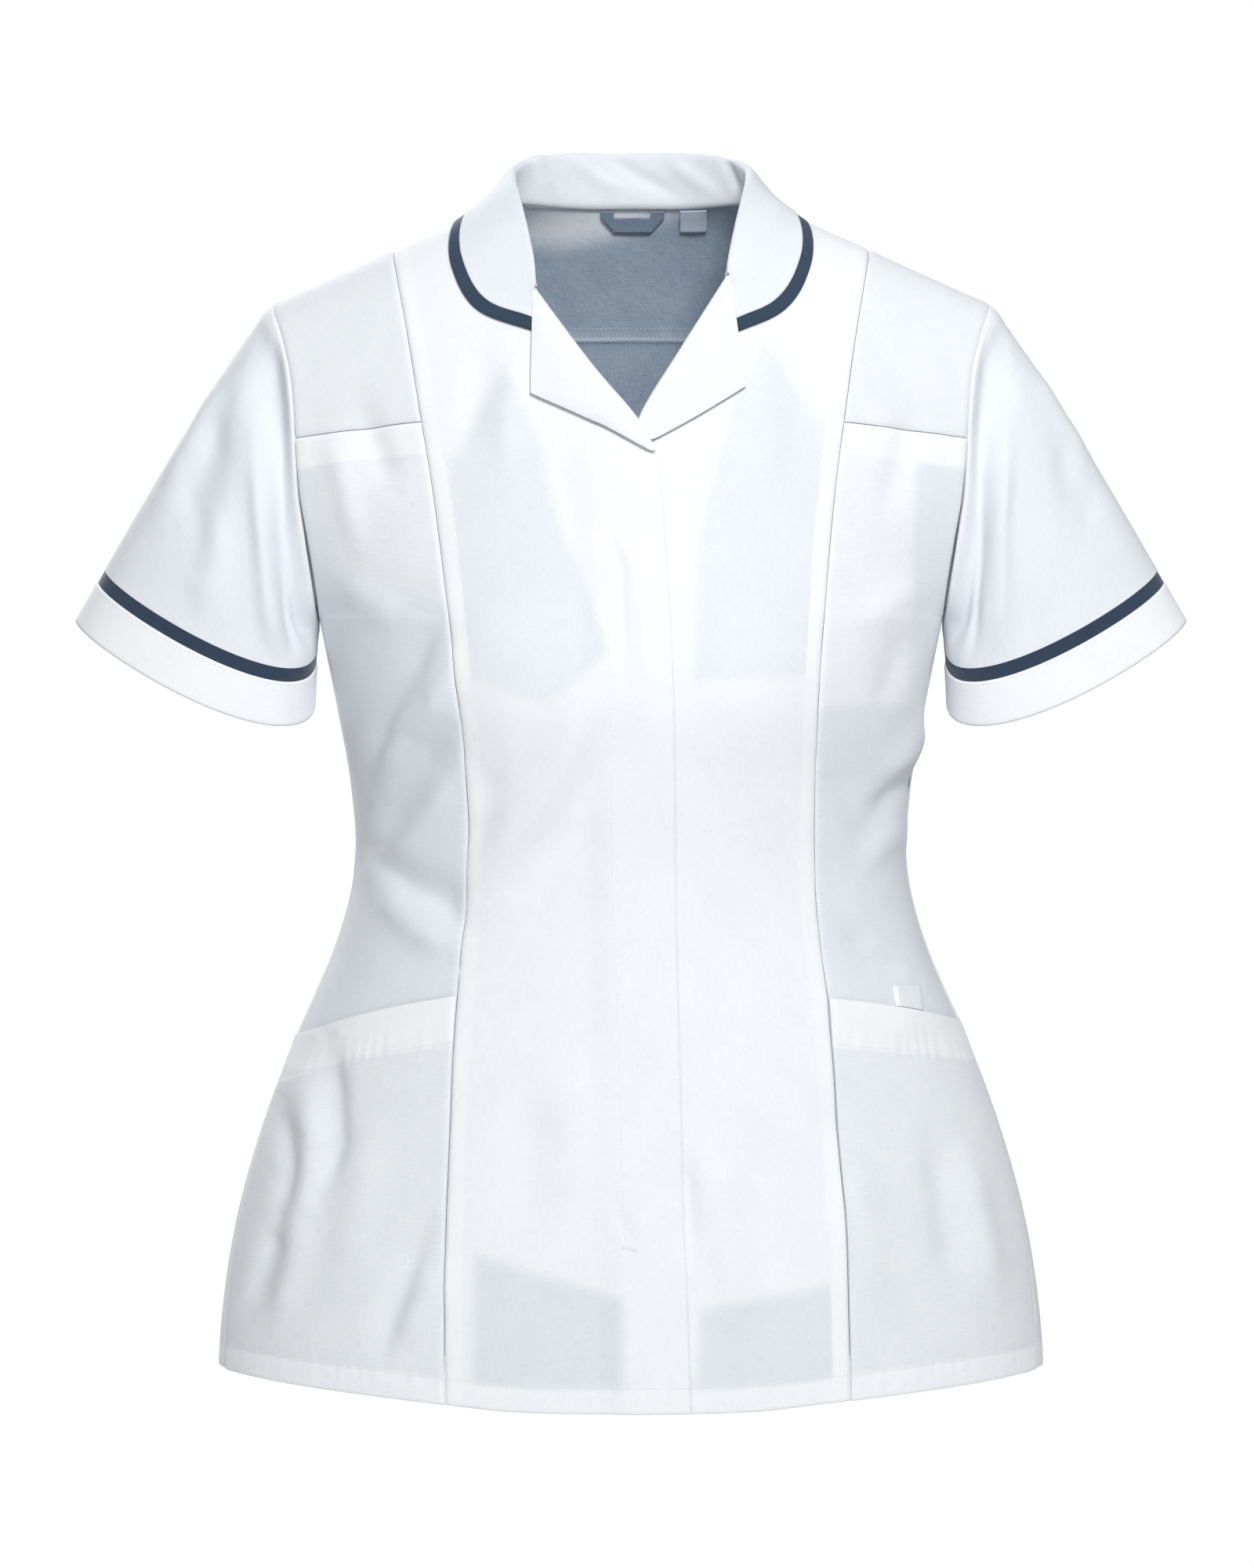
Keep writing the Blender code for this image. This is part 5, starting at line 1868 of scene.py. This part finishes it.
    def build(self) -> None:
        """Make the collar and its flat piping."""
        points = self.surface(261, 90)
        white = self.cut_between(points, -1.0, self.trim, 48)
        navy = self.cut_between(points, self.trim + 2.0, 0.0, 8)
        # Painted shade: the collar gets a low layer share, a darker white, to offset the strong light on it.
        collar = Grid(white, self.normals(white), np.full(white.shape[:2], 0.35))
        piping = Grid(navy, self.normals(navy), np.ones(navy.shape[:2]))
        outward = Vector(collar.normals[-1, 130]).dot(Vector((0.0, 1.0, 0.3)))
        if outward < 0.0:
            collar.normals, piping.normals = -collar.normals, -piping.normals
        piping.raise_by(np.full(piping.layers.shape, -0.45))
        far = collar.from_edges()
        along = np.broadcast_to(np.linspace(0.0, self.run_scale, white.shape[1]), far["top"].shape)
        height = self.creases.heights(along, far["top"]) * ease(far["bottom"], 0.0, 14.0)
        collar.raise_by(height + 0.15 * bell(far["bottom"], 2.0))
        under = ("front_right", "front_left", "back_yoke")
        cut = Cut(0.42, 0.085, area=0.0245, held=Held.FOLDED, rests_on=under)
        self.shop.cloth("collar", collar, cut, WHITE, 1.1, offset=0.0)
        cut = Cut(0.54, 0.01, held=Held.LAID, rests_on=("collar",))
        self.shop.cloth("collar_trim", piping, cut, NAVY, 0.6, offset=0.0)


@dataclass
class Sewing:
    """Rows of stitches on the finished pieces."""

    shop: Workshop
    run: StitchRun = StitchRun()
    tack: StitchRun = StitchRun(pitch=0.5, length=0.45, width=1.9)

    def row(self, name: str, lines: Sequence[tuple[Array, Array]], run: Optional[StitchRun] = None) -> None:
        """Add one piece of stitches."""
        self.shop.add((run or self.run).build(name, lines), THREAD)

    def on_lap(self, path: Sequence[tuple[float, float]], step: float = 1.5) -> tuple[Array, Array]:
        """Line over the lapped front.

        Args:
            path: Places over x and z in mm.
            step: Distance between the line's points in mm.

        Returns:
            Points in metres and normals.
        """
        marks = np.array(path, dtype=float)
        run = run_of(marks)
        x, z = along_line(np.arange(0.0, run[-1], step), run, marks).T
        row, across = BODY.place(Face.FRONT, x, z)
        return BODY.surface(Face.FRONT, row, across, LAYERS.lap(x, z))

    def build(self) -> None:
        """Sew the hems, pocket mouths, cuffs, collar, yoke and placket."""
        grids = self.shop.grids
        pockets = ("lower_pocket_right", "lower_pocket_left")
        hems = ("front_right", "front_left", *pockets, "back_body", "side_back_right", "side_back_left")
        self.row("placket_stitches", [self.on_lap(PLACKET_STITCH)])
        self.row("bar_tack", [self.on_lap(BAR_TACK, 0.4)], self.tack)
        self.row("hem_stitches", [grids[name].line_at("bottom", LAYERS.hem_depth) for name in hems])
        self.row("pocket_stitches", [grids[name].line_at("top", LAYERS.mouth_depth) for name in pockets])
        self.row("cuff_stitches", [grids["cuff_" + side.word].line_at("top", 2.0) for side in Side])
        collar = grids["collar"]
        self.row("collar_stitches", [collar.line_at("bottom", 3.5), collar.line_at("top", 2.5)])
        rows = [grids["back_yoke"].line_at("bottom", distance) for distance in (2.0, 8.0)]
        rows += [(points - normals * (LAYERS.wall + 0.05) * MM, -normals) for points, normals in rows]
        self.row("yoke_stitches", rows)


@dataclass(frozen=True)
class Studio:
    """Plain pale floor, soft light and the photograph's camera."""

    eye: tuple[float, float, float] = (-0.00235, -3.2, -0.344)
    view_height: float = 0.94
    floor_z: float = -1.35
    floor_radius: float = 3.4
    ambient: tuple[float, float, float] = (0.262, 0.27, 0.285)
    backdrop: tuple[float, float, float] = (1.02, 1.02, 1.02)

    def build(self) -> None:
        """Set the camera, the floor, the lights and the world."""
        bpy.context.scene.view_settings.view_transform = "Standard"
        camera = bpy.data.cameras.new("camera")
        camera.sensor_fit = "VERTICAL"
        camera.sensor_height = 24.0
        camera.lens = 24.0 * -self.eye[1] / self.view_height
        seen = linked("camera", camera)
        seen.location = self.eye
        seen.rotation_euler = (math.pi / 2.0, 0.0, 0.0)
        bpy.context.scene.camera = seen
        mesh = bpy.data.meshes.new("floor")
        with editing(mesh) as bm:
            bmesh.ops.create_circle(bm, cap_ends=True, segments=96, radius=self.floor_radius)
            bmesh.ops.translate(bm, verts=bm.verts, vec=(0.0, 0.0, self.floor_z))
        pale = bpy.data.materials.new("pale_floor")
        pale.use_nodes = True
        pale.node_tree.nodes["Principled BSDF"].inputs["Base Color"].default_value = (0.86, 0.86, 0.86, 1.0)
        pale.node_tree.nodes["Principled BSDF"].inputs["Roughness"].default_value = 0.9
        mesh.materials.append(pale)
        floor = linked("floor", mesh)
        for name, place, size, power in (
            ("key", (0.5, -2.5, 1.4), 0.9, 68.0), ("fill", (-1.2, -2.9, -0.3), 2.0, 5.0),
            ("top", (0.0, -0.2, 1.9), 1.6, 4.0), ("rear", (-1.3, 2.3, 1.3), 1.0, 62.0),
        ):
            light = bpy.data.lights.new(name, "AREA")
            light.size = size
            light.energy = power
            lamp = linked(name, light)
            lamp.location = place
            aim = Vector((0.0, 0.0, -0.35)) - Vector(place)
            lamp.rotation_euler = aim.to_track_quat("-Z", "Y").to_euler()
        world = bpy.data.worlds.new("white_studio")
        world.use_nodes = True
        nodes = world.node_tree.nodes
        tone = nodes.new("ShaderNodeMix")
        tone.data_type = "RGBA"
        tone.inputs[6].default_value = (*self.ambient, 1.0)
        tone.inputs[7].default_value = (*self.backdrop, 1.0)
        world.node_tree.links.new(nodes.new("ShaderNodeLightPath").outputs["Is Camera Ray"], tone.inputs[0])
        world.node_tree.links.new(tone.outputs[2], nodes["Background"].inputs["Color"])
        bpy.context.scene.world = world


def main() -> None:
    """Build the tunic's pieces in the order they are sewn and set the studio around them."""
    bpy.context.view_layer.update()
    shop = Workshop()
    back = Back(shop)
    for craft in (
        Fronts(shop), back, FrontDetails(shop), Sleeves(shop), Collar(shop, back), Sewing(shop), Studio(),
    ):
        craft.build()


if __name__ == "__main__":
    main()
